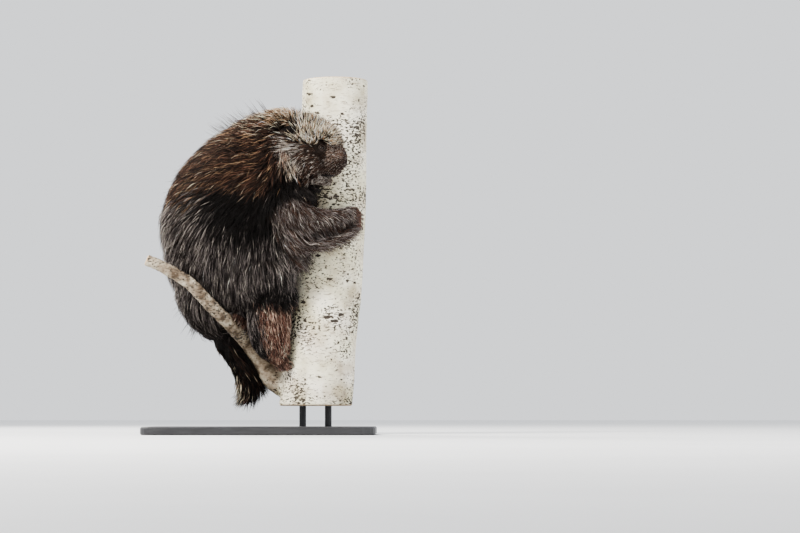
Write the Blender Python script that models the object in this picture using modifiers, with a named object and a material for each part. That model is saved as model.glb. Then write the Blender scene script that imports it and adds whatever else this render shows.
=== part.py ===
"""A North American porcupine clinging to a cut length of aspen trunk, on a display stand.

Metres, +Z up. The animal faces +X with its right side towards -Y. The origin is at the bottom
centre of the base plate. Tables of sections, paths and sizes are in millimetres, scaled by MM.
"""

import math
import random

import bmesh
import bpy
import numpy as np
from mathutils import Matrix, Vector
from mathutils.bvhtree import BVHTree

MM = 0.001
GAP = 0.3 * MM

# Stand
BASE_LENGTH = 464 * MM
BASE_WIDTH = 330 * MM
BASE_THICK = 16 * MM
BASE_CORNER = 36 * MM
BASE_EDGE = 2.5 * MM
ROD_RADIUS = 7 * MM
ROD_OFFSET = 26 * MM

# Trunk: x, y, z, radius along its leaning axis
TRUNK_AXIS = [
    (108, 35, 58, 74),
    (115, 35, 120, 72),
    (119.5, 35, 172, 70.5),
    (128, 35, 262, 71),
    (135, 35, 350, 70),
    (140, 35, 440, 69),
    (143.5, 35, 560, 68),
    (147, 35, 724, 66.5),
]

TRUNK_RINGS = 11
TRUNK_SIDES = 24

# Side limb from the fork, passing under the animal: x, y, z, radius
LIMB_PATH = [
    (104, 42, 98, 33),
    (64, 48, 96, 29),
    (24, 48, 112, 23),
    (-4, 36, 152, 18.5),
    (-34, 8, 192, 16),
    (-68, -36, 228, 14),
    (-102, -70, 262, 13),
    (-140, -92, 302, 12.3),
    (-194, -104, 334, 11.6),
    (-224, -108, 347, 11.2),
]

# Core of the body, neck to rump: x, y, z, half depth, half width
TORSO_SECTIONS = [
    (84, -75, 568, 70, 50),
    (44, -67, 556, 78, 62),
    (-12, -46, 508, 112, 82),
    (-50, -26, 440, 129, 90),
    (-60, -6, 366, 114, 88),
    (-70, 14, 302, 99, 76),
    (-98, 26, 252, 61, 58),
    (-112, 30, 222, 26, 28),
]
BULGES = [  # haunches, shoulders, then the chest by the near arm: centre, half sizes
    ((-2, -54, 320), (58, 38, 50)),
    ((-4, 76, 320), (54, 36, 50)),
    ((40, -90, 462), (52, 34, 58)),
    ((34, 16, 468), (46, 34, 54)),
    ((62, -70, 398), (42, 32, 52)),
]
TORSO_VOXEL = 9 * MM
TORSO_FACES = 600
TORSO_ROUND = (8, 11, 12, 13, 13, 13, 13, 13, 12, 10, 8)

# Head: x, z, half height, half width, from the back to the nose
HEAD_Y = -75
HEAD_SECTIONS = [
    (10, 570, 56, 46),
    (58, 572, 57, 49),
    (80, 568, 56, 48),
    (102, 561, 53, 45),
    (120, 555, 49, 39),
    (134, 552, 45, 33.5),
    (147, 551, 39, 29.5),
    (158, 550, 31, 26),
    (166, 549, 22, 20),
    (172, 547, 12, 12),
]
HEAD_BUMPS = [  # x, distance out, z, half sizes: cheeks, brows, lip pads, nose, chin
    (100, 34, 540, (26, 15, 24)),
    (126, 22, 590, (15, 11, 8)),
    (153, 10, 534, (14, 13, 12)),
    (166, 5, 550, (8, 10, 9)),
    (133, 5, 507, (15, 9, 8)),
]
HEAD_VOXEL = 3.5 * MM
HEAD_FACES = 520
NECK_TOP = Vector((38, HEAD_Y, 620)) * MM
NECK_MIDDLE = Vector((62, HEAD_Y, 560)) * MM
HEADWARD = Vector((120, 0, 48)).normalized()
NECK_UP = Vector((-48, 0, 120)).normalized()
NOSE = Vector((174, HEAD_Y, 549)) * MM

EYE_AT = Vector((125, HEAD_Y, 571)) * MM
EYE_RADIUS = 5.6 * MM
LID_RADII = (5.7, 4.4)
NOSTRIL_OUT = 7 * MM
NOSTRIL_SIZE = (2.4, 2.2, 3.4)
MOUTH_BACK = Vector((124, HEAD_Y, 519.5)) * MM
MOUTH_TURN = 84
LIP_RADIUS = 2.1
EAR_AT = Vector((62, HEAD_Y, 588)) * MM
EAR_SIZE = (5.5, 12.5, 17.0)
HEAD_ROWS = ((5, 12), (23, 11), (41, 10), (57, 7))  # distance from the neck, locks

# Tail core, base to tip: x, y, z, half depth, half width
TAIL_SECTIONS = [
    (-116, 26, 252, 30, 36),
    (-104, 32, 224, 30, 36),
    (-80, 46, 186, 28, 33),
    (-50, 62, 146, 26, 30),
    (-28, 74, 108, 23, 25),
    (-28, 78, 80, 13, 14),
]

# Arms and lower legs: x, y, z, half depth, half width
LIMB_SECTIONS = {
    "arm_right": [
        (46, -88, 458, 32, 28),
        (74, -96, 428, 31, 28),
        (104, -90, 421, 28, 25),
        (136, -70, 425, 23, 20),
        (158, -52, 434, 16, 14.5),
    ],
    "arm_left": [
        (38, 18, 474, 30, 26),
        (44, 74, 444, 27, 25),
        (62, 114, 436, 23, 22),
        (100, 128, 444, 18.5, 18),
        (130, 125, 450, 15, 14),
    ],
    "leg_right": [
        (8, -38, 312, 40, 34),
        (14, -32, 268, 38, 33),
        (12, -26, 222, 37, 31),
        (16, -20, 190, 32, 27),
        (26, -14, 166, 22, 19),
    ],
    "leg_left": [
        (-2, 84, 318, 38, 34),
        (-6, 92, 280, 31, 28),
        (-20, 84, 256, 22, 21),
        (-30, 66, 246, 15, 16),
    ],
}

# Shares along a lock: where its sections stand, their width and thickness
LOCK_SECTIONS = (
    (0.0, 0.7, 0.9),
    (0.36, 1.0, 1.0),
    (0.74, 0.66, 0.75),
    (1.0, 0.0, 0.0),
)
WALK_STEPS = 5
SHARPEST_TURN = 0.85

SEEDS = {"torso": 16, "head": 1, "tail": 1, "arm_right": 1, "arm_left": 1, "leg_right": 1, "leg_left": 1}

PAINTS = {
    "head": "face",
    "leg_right": "reddish",
    "paw_right": "skin",
    "paw_left": "skin",
    "foot_right": "skin",
    "foot_left": "skin",
    "eye_right": "eye",
    "eye_left": "eye",
    "perch_trunk": "bark",
    "perch_limb": "bark",
}
COLOURS = {
    "coat": (0.058, 0.040, 0.032),
    "face": (0.060, 0.045, 0.038),
    "reddish": (0.110, 0.050, 0.034),
    "skin": (0.070, 0.045, 0.040),
    "eye": (0.010, 0.008, 0.007),
    "bark": (0.560, 0.540, 0.440),
    "stand": (0.030, 0.030, 0.032),
    "rod": (0.030, 0.030, 0.032),
}


# Scene and mesh helpers

def clear_scene():
    for obj in list(bpy.data.objects):
        bpy.data.objects.remove(obj)


def new_collection(name):
    made = bpy.data.collections.new(name)
    bpy.context.scene.collection.children.link(made)
    return made


def material(name, roughness):
    made = bpy.data.materials.new(name)
    made.use_nodes = True
    shader = made.node_tree.nodes["Principled BSDF"]
    shader.inputs["Base Color"].default_value = (*COLOURS[name], 1)
    shader.inputs["Roughness"].default_value = roughness
    made.diffuse_color = (*COLOURS[name], 1)
    return made


def object_from(name, bm, collection):
    bmesh.ops.recalc_face_normals(bm, faces=bm.faces)
    bent = [face for face in bm.faces if len(face.verts) == 4]
    bmesh.ops.triangulate(bm, faces=bent)
    mesh = bpy.data.meshes.new(name)
    bm.to_mesh(mesh)
    bm.free()
    obj = bpy.data.objects.new(name, mesh)
    collection.objects.link(obj)
    return obj


def apply_modifiers(obj):
    graph = bpy.context.evaluated_depsgraph_get()
    mesh = bpy.data.meshes.new_from_object(obj.evaluated_get(graph))
    old = obj.data
    obj.modifiers.clear()
    obj.data = mesh
    bpy.data.meshes.remove(old)


def remove_objects(objects):
    for obj in list(objects):
        mesh = obj.data
        bpy.data.objects.remove(obj)
        bpy.data.meshes.remove(mesh)


def join_pieces(obj, pieces):
    """Fuses a collection of closed pieces into obj, then removes the collection."""
    if pieces.objects:
        union = obj.modifiers.new("union", "BOOLEAN")
        union.operation = "UNION"
        union.operand_type = "COLLECTION"
        union.collection = pieces
        union.solver = "MANIFOLD"
        apply_modifiers(obj)
        remove_objects(pieces.objects)
    bpy.data.collections.remove(pieces)


def cut_back(obj, cutters):
    """Cuts closed pieces from obj and leaves them in place."""
    for cutter in cutters:
        cut = obj.modifiers.new("cut", "BOOLEAN")
        cut.operation = "DIFFERENCE"
        cut.object = cutter
        cut.solver = "MANIFOLD"
    apply_modifiers(obj)


def cut_away(obj, cutters):
    """Cuts closed pieces from obj and removes them."""
    cut_back(obj, cutters)
    remove_objects(cutters)


def boxes_meet(first, second):
    for axis in range(3):
        a = [corner[axis] for corner in first.bound_box]
        b = [corner[axis] for corner in second.bound_box]
        if max(a) < min(b) or max(b) < min(a):
            return False
    return True


def grown_copy(obj, grow, collection):
    """A copy of a closed mesh, pushed out by grow along its normals."""
    copy = bpy.data.objects.new(obj.name + " copy", obj.data.copy())
    collection.objects.link(copy)
    if grow:
        push = copy.modifiers.new("grow", "DISPLACE")
        push.mid_level = 0
        push.strength = grow
        apply_modifiers(copy)
    return copy


def face_volume(faces):
    total = 0.0
    for face in faces:
        first, *others = [v.co for v in face.verts]
        for b, c in zip(others, others[1:]):
            total += first.dot(b.cross(c))
    return abs(total)


def keep_largest(obj):
    """Keeps only the closed surface that holds the most volume."""
    bm = bmesh.new()
    bm.from_mesh(obj.data)
    unseen = set(bm.faces)
    bodies = []
    while unseen:
        body = [unseen.pop()]
        for face in body:
            for edge in face.edges:
                for other in edge.link_faces:
                    if other in unseen:
                        unseen.remove(other)
                        body.append(other)
        bodies.append(body)
    bodies.sort(key=face_volume)
    scraps = [face for body in bodies[:-1] for face in body]
    bmesh.ops.delete(bm, geom=scraps, context="FACES")
    bm.to_mesh(obj.data)
    bm.free()


# Curves, lofts and plain solids

def spline(rows, count):
    """Catmull-Rom through rows of numbers, sampled at count even steps."""
    rows = np.array(rows, float)
    padded = np.vstack([2 * rows[0] - rows[1], rows, 2 * rows[-1] - rows[-2]])
    sampled = []
    for t in np.linspace(0, len(rows) - 1, count):
        i = min(int(t), len(rows) - 2)
        f = t - i
        a, b, c, d = padded[i : i + 4]
        sampled.append(
            b
            + 0.5 * f * (c - a)
            + f * f * (a - 2.5 * b + 2 * c - 0.5 * d)
            + f * f * f * (1.5 * b - 1.5 * c + 0.5 * d - 0.5 * a)
        )
    return np.array(sampled)


def skin_rings(name, rings, collection, first=None, last=None):
    """A closed mesh through rings of points, ended by a point or a flat face."""
    bm = bmesh.new()
    rows = [[bm.verts.new(p) for p in ring] for ring in rings]
    count = len(rows[0])
    for low, high in zip(rows, rows[1:]):
        for i in range(count):
            j = (i + 1) % count
            bm.faces.new((low[i], low[j], high[j], high[i]))
    for row, tip in ((rows[0], first), (rows[-1], last)):
        if tip is None:
            bm.faces.new(row)
            continue
        point = bm.verts.new(tip)
        for i in range(count):
            bm.faces.new((row[i], row[(i + 1) % count], point))
    return object_from(name, bm, collection)


def frames(points, side):
    """Tangent, side and up vectors along a path, the side kept near the one given."""
    made = []
    for i in range(len(points)):
        ahead = points[min(i + 1, len(points) - 1)] - points[max(i - 1, 0)]
        tangent = ahead.normalized()
        across = (side - side.dot(tangent) * tangent).normalized()
        made.append((tangent, across, tangent.cross(across)))
    return made


def loft(name, sections, count, sides, collection, side=(0, 1, 0), round_ends=True):
    """A solid of oval sections along a smooth path; rows are x, y, z, depth, width in mm."""
    rows = spline(sections, count) * MM
    points = [Vector(row[:3]) for row in rows]
    rings = []
    for point, row, (_, across, up) in zip(points, rows, frames(points, Vector(side))):
        ring = []
        for k in range(sides):
            turn = 2 * math.pi * k / sides
            ring.append(point + up * row[3] * math.cos(turn) + across * row[4] * math.sin(turn))
        rings.append(ring)
    if not round_ends:
        return skin_rings(name, rings, collection)
    start = points[0] - (points[1] - points[0]).normalized() * rows[0][3] * 0.35
    end = points[-1] + (points[-1] - points[-2]).normalized() * rows[-1][3] * 0.5
    return skin_rings(name, rings, collection, start, end)


def tube(name, points, radii, sides, collection, flat=1.0):
    """A solid along points in metres, with radii in mm, pressed flat in height."""
    rows = [(*(Vector(p) / MM), r, r * flat) for p, r in zip(points, radii)]
    return loft(name, rows, len(rows), sides, collection, (0, 0, 1))


def ellipsoid(name, centre, sizes, collection, turn=None, rings=8, sides=14):
    bm = bmesh.new()
    bmesh.ops.create_uvsphere(bm, u_segments=sides, v_segments=rings, radius=1)
    scale = Matrix.Diagonal([s * MM for s in sizes] + [1])
    place = Matrix.Translation(Vector(centre) * MM)
    bmesh.ops.transform(bm, matrix=place @ (turn or Matrix.Identity(4)) @ scale, verts=bm.verts)
    return object_from(name, bm, collection)


def hoop(name, centre, normal, radii, thick, collection, around=11, sides=5):
    """An oval ring round a centre, facing along normal; radii and thickness in mm."""
    facing = Vector(normal).to_track_quat("Z", "Y").to_matrix().to_4x4()
    bm = bmesh.new()
    rows = []
    for i in range(around):
        turn = 2 * math.pi * i / around
        row = []
        for k in range(sides):
            lean = 2 * math.pi * k / sides
            out = thick * math.cos(lean)
            x = (radii[0] + out) * math.cos(turn)
            y = (radii[1] + out) * math.sin(turn)
            row.append(bm.verts.new((x * MM, y * MM, thick * math.sin(lean) * MM)))
        rows.append(row)
    for i in range(around):
        low, high = rows[i], rows[(i + 1) % around]
        for k in range(sides):
            j = (k + 1) % sides
            bm.faces.new((low[k], low[j], high[j], high[k]))
    bmesh.ops.transform(bm, matrix=Matrix.Translation(centre) @ facing, verts=bm.verts)
    return object_from(name, bm, collection)


def block_beyond(name, point, normal, collection, reach=0.6):
    """A large block that fills the side of a plane its normal points to."""
    bm = bmesh.new()
    bmesh.ops.create_cube(bm, size=reach)
    turn = normal.to_track_quat("Z", "Y").to_matrix().to_4x4()
    place = Matrix.Translation(point + normal * reach / 2)
    bmesh.ops.transform(bm, matrix=place @ turn, verts=bm.verts)
    return object_from(name, bm, collection)


def tree_of(obj):
    return BVHTree.FromObject(obj, bpy.context.evaluated_depsgraph_get())


def varied(value, share=0.12):
    return value * random.uniform(1 - share, 1 + share)


# Locks: flat, tapered, bent along the lie of the coat

def lock_plan(tree, root, lie, size):
    """Sections of a lock that starts sunk in the surface and follows lie(point) along it.

    It runs straight on where the surface turns away sharply. size is length, width, thickness,
    rise of the tip and depth of the root, in mm.
    """
    length, width, thick, rise, sink = (value * MM for value in size)
    walked = []
    point, normal, _, _ = tree.find_nearest(root)
    follows = True
    for _ in range(WALK_STEPS + 1):
        way = lie(point)
        way = (way - way.dot(normal) * normal).normalized()
        walked.append((point, normal, way))
        point = point + way * length / WALK_STEPS
        nearest, ahead, _, _ = tree.find_nearest(point)
        follows = follows and ahead.dot(normal) > SHARPEST_TURN
        if follows:
            point = nearest
            normal = (normal + ahead).normalized()

    plan = []
    for share, wide, deep in LOCK_SECTIONS:
        i = min(int(share * WALK_STEPS), WALK_STEPS - 1)
        f = share * WALK_STEPS - i
        spot, up, along = (a.lerp(b, f) for a, b in zip(walked[i], walked[i + 1]))
        up.normalize()
        across = up.cross(along).normalized()
        spot = spot + up * (rise * share**0.8 - sink * (1 - share))
        plan.append((spot, across, up, along.normalized(), width * wide / 2, thick * deep / 2))
    return plan


def lock_piece(plan, collection):
    rings = []
    for spot, across, up, _, half, deep in plan[:-1]:
        rings.append([spot - across * half, spot + up * deep, spot + across * half])
    return skin_rings("lock", rings, collection, None, plan[-1][0])


def grown_lock(plan, grow, collection):
    """A blunt lock that holds the one of the same plan at a distance of grow inside it."""
    rings = []
    for i, (spot, across, up, along, half, deep) in enumerate(plan):
        if i in (0, len(plan) - 1):
            spot = spot + along * (grow if i else -grow)
        side, ridge, lift = across * (half + grow), up * (deep + grow), up * grow
        low, high = (-side - lift, side - lift), (side + lift, ridge, -side + lift)
        rings.append([spot + offset for offset in low + high])
    return skin_rings("lock", rings, collection)


def spread_roots(tree, axis, per_row, reach=0.4, jitter=0.22):
    """Staggered points on a surface round an axis: point, share along, turn in degrees."""
    path = [Vector(p) for p in spline([tuple(a) for a in axis], len(per_row))]
    found = []
    for i, (centre, (_, across, up)) in enumerate(zip(path, frames(path, Vector((0, 1, 0))))):
        for k in range(per_row[i]):
            shift = 0.5 * (i % 2) + random.uniform(-jitter, jitter)
            turn = 2 * math.pi * (k + shift) / per_row[i]
            ray = up * math.cos(turn) + across * math.sin(turn)
            hit = tree.ray_cast(centre, ray, reach)[0]
            if hit is not None:
                found.append((hit, i / (len(path) - 1), math.degrees(turn) % 360))
    return found


def section_points(sections):
    return [Vector(s[:3]) * MM for s in sections]


# Perch and stand

def trunk_at(height):
    """Centre and radius of the trunk at a height in metres."""
    rows = np.array(TRUNK_AXIS, float) * MM
    x, y, radius = (np.interp(height, rows[:, 2], rows[:, i]) for i in (0, 1, 3))
    return Vector((x, y, height)), radius


def on_trunk(turn, height, out, far=1):
    """A point out mm over the bark; turn in degrees from the -Y side (far=1) towards +X."""
    centre, radius = trunk_at(height * MM)
    angle = math.radians(turn)
    return centre + Vector((math.sin(angle), -far * math.cos(angle), 0)) * (radius + out * MM)


def on_limb(share, turn, out):
    """A point out mm over the limb's bark; turn in degrees from its top to the near side."""
    rows = spline(LIMB_PATH, 101) * MM
    i = round(share * 100)
    centre = Vector(rows[i][:3])
    along = (Vector(rows[i + 1][:3]) - Vector(rows[i - 1][:3])).normalized()
    up = (Vector((0, 0, 1)) - along * along.z).normalized()
    near = up.cross(along)
    angle = math.radians(turn)
    return centre + (up * math.cos(angle) + near * math.sin(angle)) * (rows[i][3] + out * MM)


def clear_of_trunk(point, margin):
    centre, radius = trunk_at(point.z)
    return math.hypot(point.x - centre.x, point.y - centre.y) > radius + margin * MM


def make_trunk(collection):
    rings = []
    for row in spline(TRUNK_AXIS, TRUNK_RINGS) * MM:
        ring = []
        for k in range(TRUNK_SIDES):
            turn = 2 * math.pi * k / TRUNK_SIDES
            uneven = 1 + 0.012 * math.sin(2 * turn + 9 * row[2]) * math.sin(23 * row[2])
            reach = row[3] * uneven
            ring.append((row[0] + reach * math.cos(turn), row[1] + reach * math.sin(turn), row[2]))
        rings.append(ring)
    return skin_rings("perch_trunk", rings, collection)


def make_side_limb(collection):
    sections = [(x, y, z, r, r) for x, y, z, r in LIMB_PATH]
    return loft("perch_limb", sections, 17, 12, collection, round_ends=False)


def make_stand(collection, paints):
    bm = bmesh.new()
    bmesh.ops.create_cube(bm, size=1)
    size = Matrix.Diagonal((BASE_LENGTH, BASE_WIDTH, BASE_THICK, 1))
    lift = Matrix.Translation((0, 0, BASE_THICK / 2))
    bmesh.ops.transform(bm, matrix=lift @ size, verts=bm.verts)
    upright = [e for e in bm.edges if abs(e.verts[0].co.z - e.verts[1].co.z) > BASE_THICK / 2]
    bmesh.ops.bevel(bm, geom=upright, offset=BASE_CORNER, segments=6, affect="EDGES", profile=0.5)
    base = object_from("stand_base", bm, collection)
    bevel = base.modifiers.new("edge", "BEVEL")
    bevel.width = BASE_EDGE
    bevel.segments = 1
    base.data.materials.append(paints["stand"])

    foot = Vector(TRUNK_AXIS[0][:3]) * MM
    low, high = BASE_THICK + GAP, foot.z - GAP
    for name, way in (("stand_rod_left", -1), ("stand_rod_right", 1)):
        bm = bmesh.new()
        bmesh.ops.create_cone(
            bm,
            cap_ends=True,
            segments=16,
            radius1=ROD_RADIUS,
            radius2=ROD_RADIUS,
            depth=high - low,
            matrix=Matrix.Translation((foot.x + way * ROD_OFFSET, foot.y, (low + high) / 2)),
        )
        rod = object_from(name, bm, collection)
        rod.data.materials.append(paints["rod"])


# Ways the hair lies

def body_lie(point):
    """Back along the spine, turning down over the flanks, then hanging."""
    height = point.z / MM
    slope = np.interp(height, (260, 330, 400, 450, 490, 530, 590), (100, 94, 86, 64, 40, 20, 8))
    if height < 500:
        slope += float(np.clip((point.x / MM + 30) * 0.17, -26, 16))
    slope = math.radians(slope)
    return Vector((-math.cos(slope), 0, -math.sin(slope)))


def head_lie(point):
    """Away from the nose, the cheeks' also down."""
    away = (point - Vector((172, HEAD_Y, 546)) * MM).normalized()
    return away - Vector((0, 0, 0.45 if point.z < 560 * MM else -0.3))


def tail_lie(point):
    rows = section_points(TAIL_SECTIONS)
    nearest = min(range(len(rows) - 1), key=lambda i: (rows[i] - point).length)
    return (rows[nearest + 1] - rows[nearest]).normalized()


def hanging_lie(right):
    return lambda point: Vector((right, 0, -1)).normalized()


# Torso and tail

def blended(core, pieces, voxel, rounds, faces):
    """Fuses pieces into core, melts the seams and thins the mesh out."""
    join_pieces(core, pieces)
    remesh = core.modifiers.new("even skin", "REMESH")
    remesh.mode = "VOXEL"
    remesh.voxel_size = voxel
    smooth = core.modifiers.new("soft", "SMOOTH")
    smooth.factor = 0.6
    smooth.iterations = rounds
    apply_modifiers(core)
    fewer = core.modifiers.new("fewer faces", "DECIMATE")
    fewer.ratio = faces / (2 * len(core.data.polygons))
    apply_modifiers(core)


def torso_core(collection):
    core = loft("torso", TORSO_SECTIONS, 20, 24, collection)
    pieces = new_collection("bulges")
    for centre, sizes in BULGES:
        ellipsoid("bulge", centre, sizes, pieces)
    blended(core, pieces, TORSO_VOXEL, 8, TORSO_FACES)
    return core


def skirt_height(x):
    """Lowest height for the tips of the near side's locks, over the near leg and side limb."""
    return np.interp(x / MM, (-80, -60, 60), (236, 258, 262)) * MM


def torso_plans(core):
    random.seed(SEEDS["torso"])
    tree = tree_of(core)
    plans = []
    axis = section_points(TORSO_SECTIONS[:-1])
    for root, share, turn in spread_roots(tree, axis, TORSO_ROUND):
        behind_neck = (NECK_TOP - root).dot(HEADWARD)
        if not clear_of_trunk(root, 4) or behind_neck < 8 * MM:
            continue
        nape = max(0.0, 1 - 4 * share) * max(0.0, math.cos(math.radians(turn - 180)))
        length, rise = varied(86), varied(29 + 16 * nape)
        plan = lock_plan(tree, root, body_lie, (length, varied(42), 6, rise, 9))
        while root.y < 0 and root.x > -90 * MM and plan[-1][0].z < skirt_height(plan[-1][0].x):
            length *= 0.88
            rise *= 0.96
            if length < 34:
                break
            plan = lock_plan(tree, root, body_lie, (length, 40, 6, rise, 9))
        if length > 34:
            plans.append(plan)
    return plans


def tail_plans(core):
    random.seed(SEEDS["tail"])
    tree = tree_of(core)
    plans = []
    axis = section_points(TAIL_SECTIONS[1:-1])
    for root, share, _ in spread_roots(tree, axis, (6, 6, 6, 6)):
        size = (varied(58), varied(20), 5, varied(17 + 8 * share), 5)
        plans.append(lock_plan(tree, root, tail_lie, size))
    return plans


# Head

def head_core(collection):
    sections = [(x, HEAD_Y, z, h, w) for x, z, h, w in HEAD_SECTIONS]
    core = loft("head", sections, 15, 20, collection)
    pieces = new_collection("bumps")
    for x, out, z, sizes in HEAD_BUMPS:
        for way in (-1, 1):
            ellipsoid("bump", (x, HEAD_Y / MM + way * out, z), sizes, pieces)
    blended(core, pieces, HEAD_VOXEL, 4, HEAD_FACES)
    return core


def eye_centre(tree, way):
    """Middle of the eyeball, sunk a little under the skin, and the way it looks."""
    skin, normal, _, _ = tree.ray_cast(EYE_AT, Vector((0, way, 0)))
    return skin - normal * EYE_RADIUS * 0.45, normal


def add_face(head, tree, collection):
    """Lips and the line of the mouth, lids round the eyes, and nostrils with their rims."""
    mouth = []
    turns = np.linspace(-MOUTH_TURN, MOUTH_TURN, 9)
    for turn in turns:
        angle = math.radians(turn)
        skin = tree.ray_cast(MOUTH_BACK, Vector((math.cos(angle), math.sin(angle), 0)))[0]
        mouth.append(skin - Vector((0, 0, 0.03 * MM * (abs(turn) - 40))))
    radii = np.interp(np.abs(turns) / MOUTH_TURN, (0, 0.8, 1), (1, 0.9, 0.4))
    pieces = new_collection("face pieces")
    for lift in (2.4, -2.6):
        tube("lip", [p + Vector((0, 0, lift * MM)) for p in mouth], radii * LIP_RADIUS, 5, pieces)

    cutters = [tube("mouth", mouth, radii * 3.2, 4, collection, flat=0.3)]
    for way in (-1, 1):
        centre, outward = eye_centre(tree, way)
        hoop("lid", centre + outward * EYE_RADIUS * 0.55, outward, LID_RADII, 1.7, pieces)
        inside = NOSE + Vector((-30 * MM, way * NOSTRIL_OUT, 0))
        skin, forward, _, _ = tree.ray_cast(inside, Vector((1, 0, 0)))
        hoop("rim", skin, forward + Vector((0, way * 0.5, 0)), (2.8, 3.8), 1.3, pieces)
        cutters.append(ellipsoid("nostril", skin / MM, NOSTRIL_SIZE, collection))
    join_pieces(head, pieces)
    cut_away(head, cutters)


def head_plans(tree):
    random.seed(SEEDS["head"])
    plans = []
    for i, (ahead, count) in enumerate(HEAD_ROWS):
        centre = NECK_MIDDLE + HEADWARD * ahead * MM
        for k in range(count):
            turn = 2 * math.pi * (k + 0.5 * (i % 2) + random.uniform(-0.15, 0.15)) / count
            ray = Vector((0, math.sin(turn), 0)) + NECK_UP * math.cos(turn)
            root = tree.ray_cast(centre, ray)[0]
            from_eye = math.hypot(root.x - EYE_AT.x, root.z - EYE_AT.z)
            if from_eye > 16 * MM and (root - NOSE).length > 50 * MM:
                crown = max(0.0, math.cos(turn))
                size = (varied(34 - 4 * crown), varied(22), 4.5, varied(12 + 22 * crown), 5)
                plans.append(lock_plan(tree, root, head_lie, size))
    return plans


def make_ear(name, tree, way, collection):
    skin, outward, _, _ = tree.ray_cast(EAR_AT, Vector((0, way * 0.75, 0.7)))
    centre = (skin + outward * 9 * MM) / MM
    lean = Matrix.Rotation(math.radians(way * 48), 4, "Z")
    lean = lean @ Matrix.Rotation(math.radians(-12), 4, "Y")
    ear = ellipsoid(name, centre, EAR_SIZE, collection, lean, 6, 12)
    hollow_at = centre + lean @ Vector((4.6, 0, 1.5))
    hollow_size = (EAR_SIZE[0], EAR_SIZE[1] - 2.2, EAR_SIZE[2] - 2.4)
    cut_away(ear, [ellipsoid("ear hollow", hollow_at, hollow_size, collection, lean, 6, 12)])
    return ear


def make_eye(name, tree, way, collection):
    centre, _ = eye_centre(tree, way)
    return ellipsoid(name, centre / MM, [EYE_RADIUS / MM] * 3, collection, rings=6, sides=11)


# Paws, feet and the coats of the limbs

def digit(path, radius, claws, claw_radius, pieces):
    tube("digit", path, [radius, radius * 1.05, radius * 0.85], 5, pieces)
    tube("claw", claws, [claw_radius, claw_radius * 0.8, claw_radius * 0.25], 4, pieces)


def make_forepaw(name, far, wrist, collection):
    """A paw laid round the trunk: the palm from the wrist, four toes with hooked claws."""
    palm = on_trunk(34, wrist[2] + 3, 11, far) / MM
    toes = on_trunk(43, wrist[2] + 3, 9, far) / MM
    paw = loft(name, [(*wrist, 14, 12), (*palm, 17, 9.5), (*toes, 16, 7)], 6, 12, collection)
    pieces = new_collection("toes")
    for k in range(4):
        height = wrist[2] + 13 - 6.6 * k
        fall = -2.5 - 1.2 * k
        path = [
            on_trunk(40, height, 6.5, far),
            on_trunk(47, height + fall * 0.4, 6.2, far),
            on_trunk(53, height + fall, 4.6, far),
        ]
        claws = [
            on_trunk(52, height + fall, 5.0, far),
            on_trunk(59, height + fall * 1.5, 5.4, far),
            on_trunk(65, height + fall * 2.4, 0.9, far),
        ]
        digit(path, 4.6, claws, 2.5, pieces)
    join_pieces(paw, pieces)
    return paw


def make_right_foot(collection):
    rows = [(20, -12, 174, 18, 17), (30, -9, 160, 14, 18), (40, -4, 151, 9, 18)]
    foot = loft("foot_right", rows, 6, 12, collection)
    pieces = new_collection("toes")
    for k in range(5):
        y = -22 + 8.5 * k
        path = [(36, y, 152), (46, y + 1, 150 + 1.2 * k), (53, y + 1.5, 146)]
        claws = [(53, y + 1.5, 146), (60, y + 2, 146), (66, y + 2, 138)]
        digit(section_points(path), 4.4, section_points(claws), 2.4, pieces)
    join_pieces(foot, pieces)
    return foot


def make_left_foot(collection):
    """A foot laid over the side limb from its far side, toes down its near side."""
    ankle = Vector(LIMB_SECTIONS["leg_left"][-1][:3])
    ball = on_limb(0.515, -4, 7) / MM
    middle = (ankle + ball) / 2 + Vector((0, 0, 5))
    rows = [(*ankle, 15, 16), (*middle, 13, 17), (*ball, 8, 17)]
    foot = loft("foot_left", rows, 7, 12, collection, side=(1, 0, 0))
    pieces = new_collection("toes")
    for k in range(5):
        share = 0.485 + 0.0165 * k
        path = [on_limb(share, 4, 6.5), on_limb(share, 30, 5.6), on_limb(share, 52, 4.4)]
        claws = [on_limb(share, 50, 4.6), on_limb(share, 76, 5.6), on_limb(share, 100, 0.9)]
        digit(path, 4.2, claws, 2.4, pieces)
    join_pieces(foot, pieces)
    return foot


def sleeve_plans(core, per_row, lie, size):
    """Locks round an arm or leg; size as for lock_plan."""
    random.seed(SEEDS[core.name])
    tree = tree_of(core)
    axis = section_points(LIMB_SECTIONS[core.name][1:])
    length, width, thick, rise, sink = size
    plans = []
    for root, _, _ in spread_roots(tree, axis, per_row):
        if clear_of_trunk(root, 3):
            sizes = (varied(length), varied(width), thick, varied(rise), sink)
            plans.append(lock_plan(tree, root, lie, sizes))
    return plans


# Assembly

def fused(form, plans, grow, collection):
    """A form with its locks, all pushed out by grow."""
    solid = grown_copy(form, grow, collection)
    pieces = new_collection("locks")
    for plan in plans:
        if grow:
            grown_lock(plan, grow, pieces)
        else:
            lock_piece(plan, pieces)
    join_pieces(solid, pieces)
    keep_largest(solid)
    return solid


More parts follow.
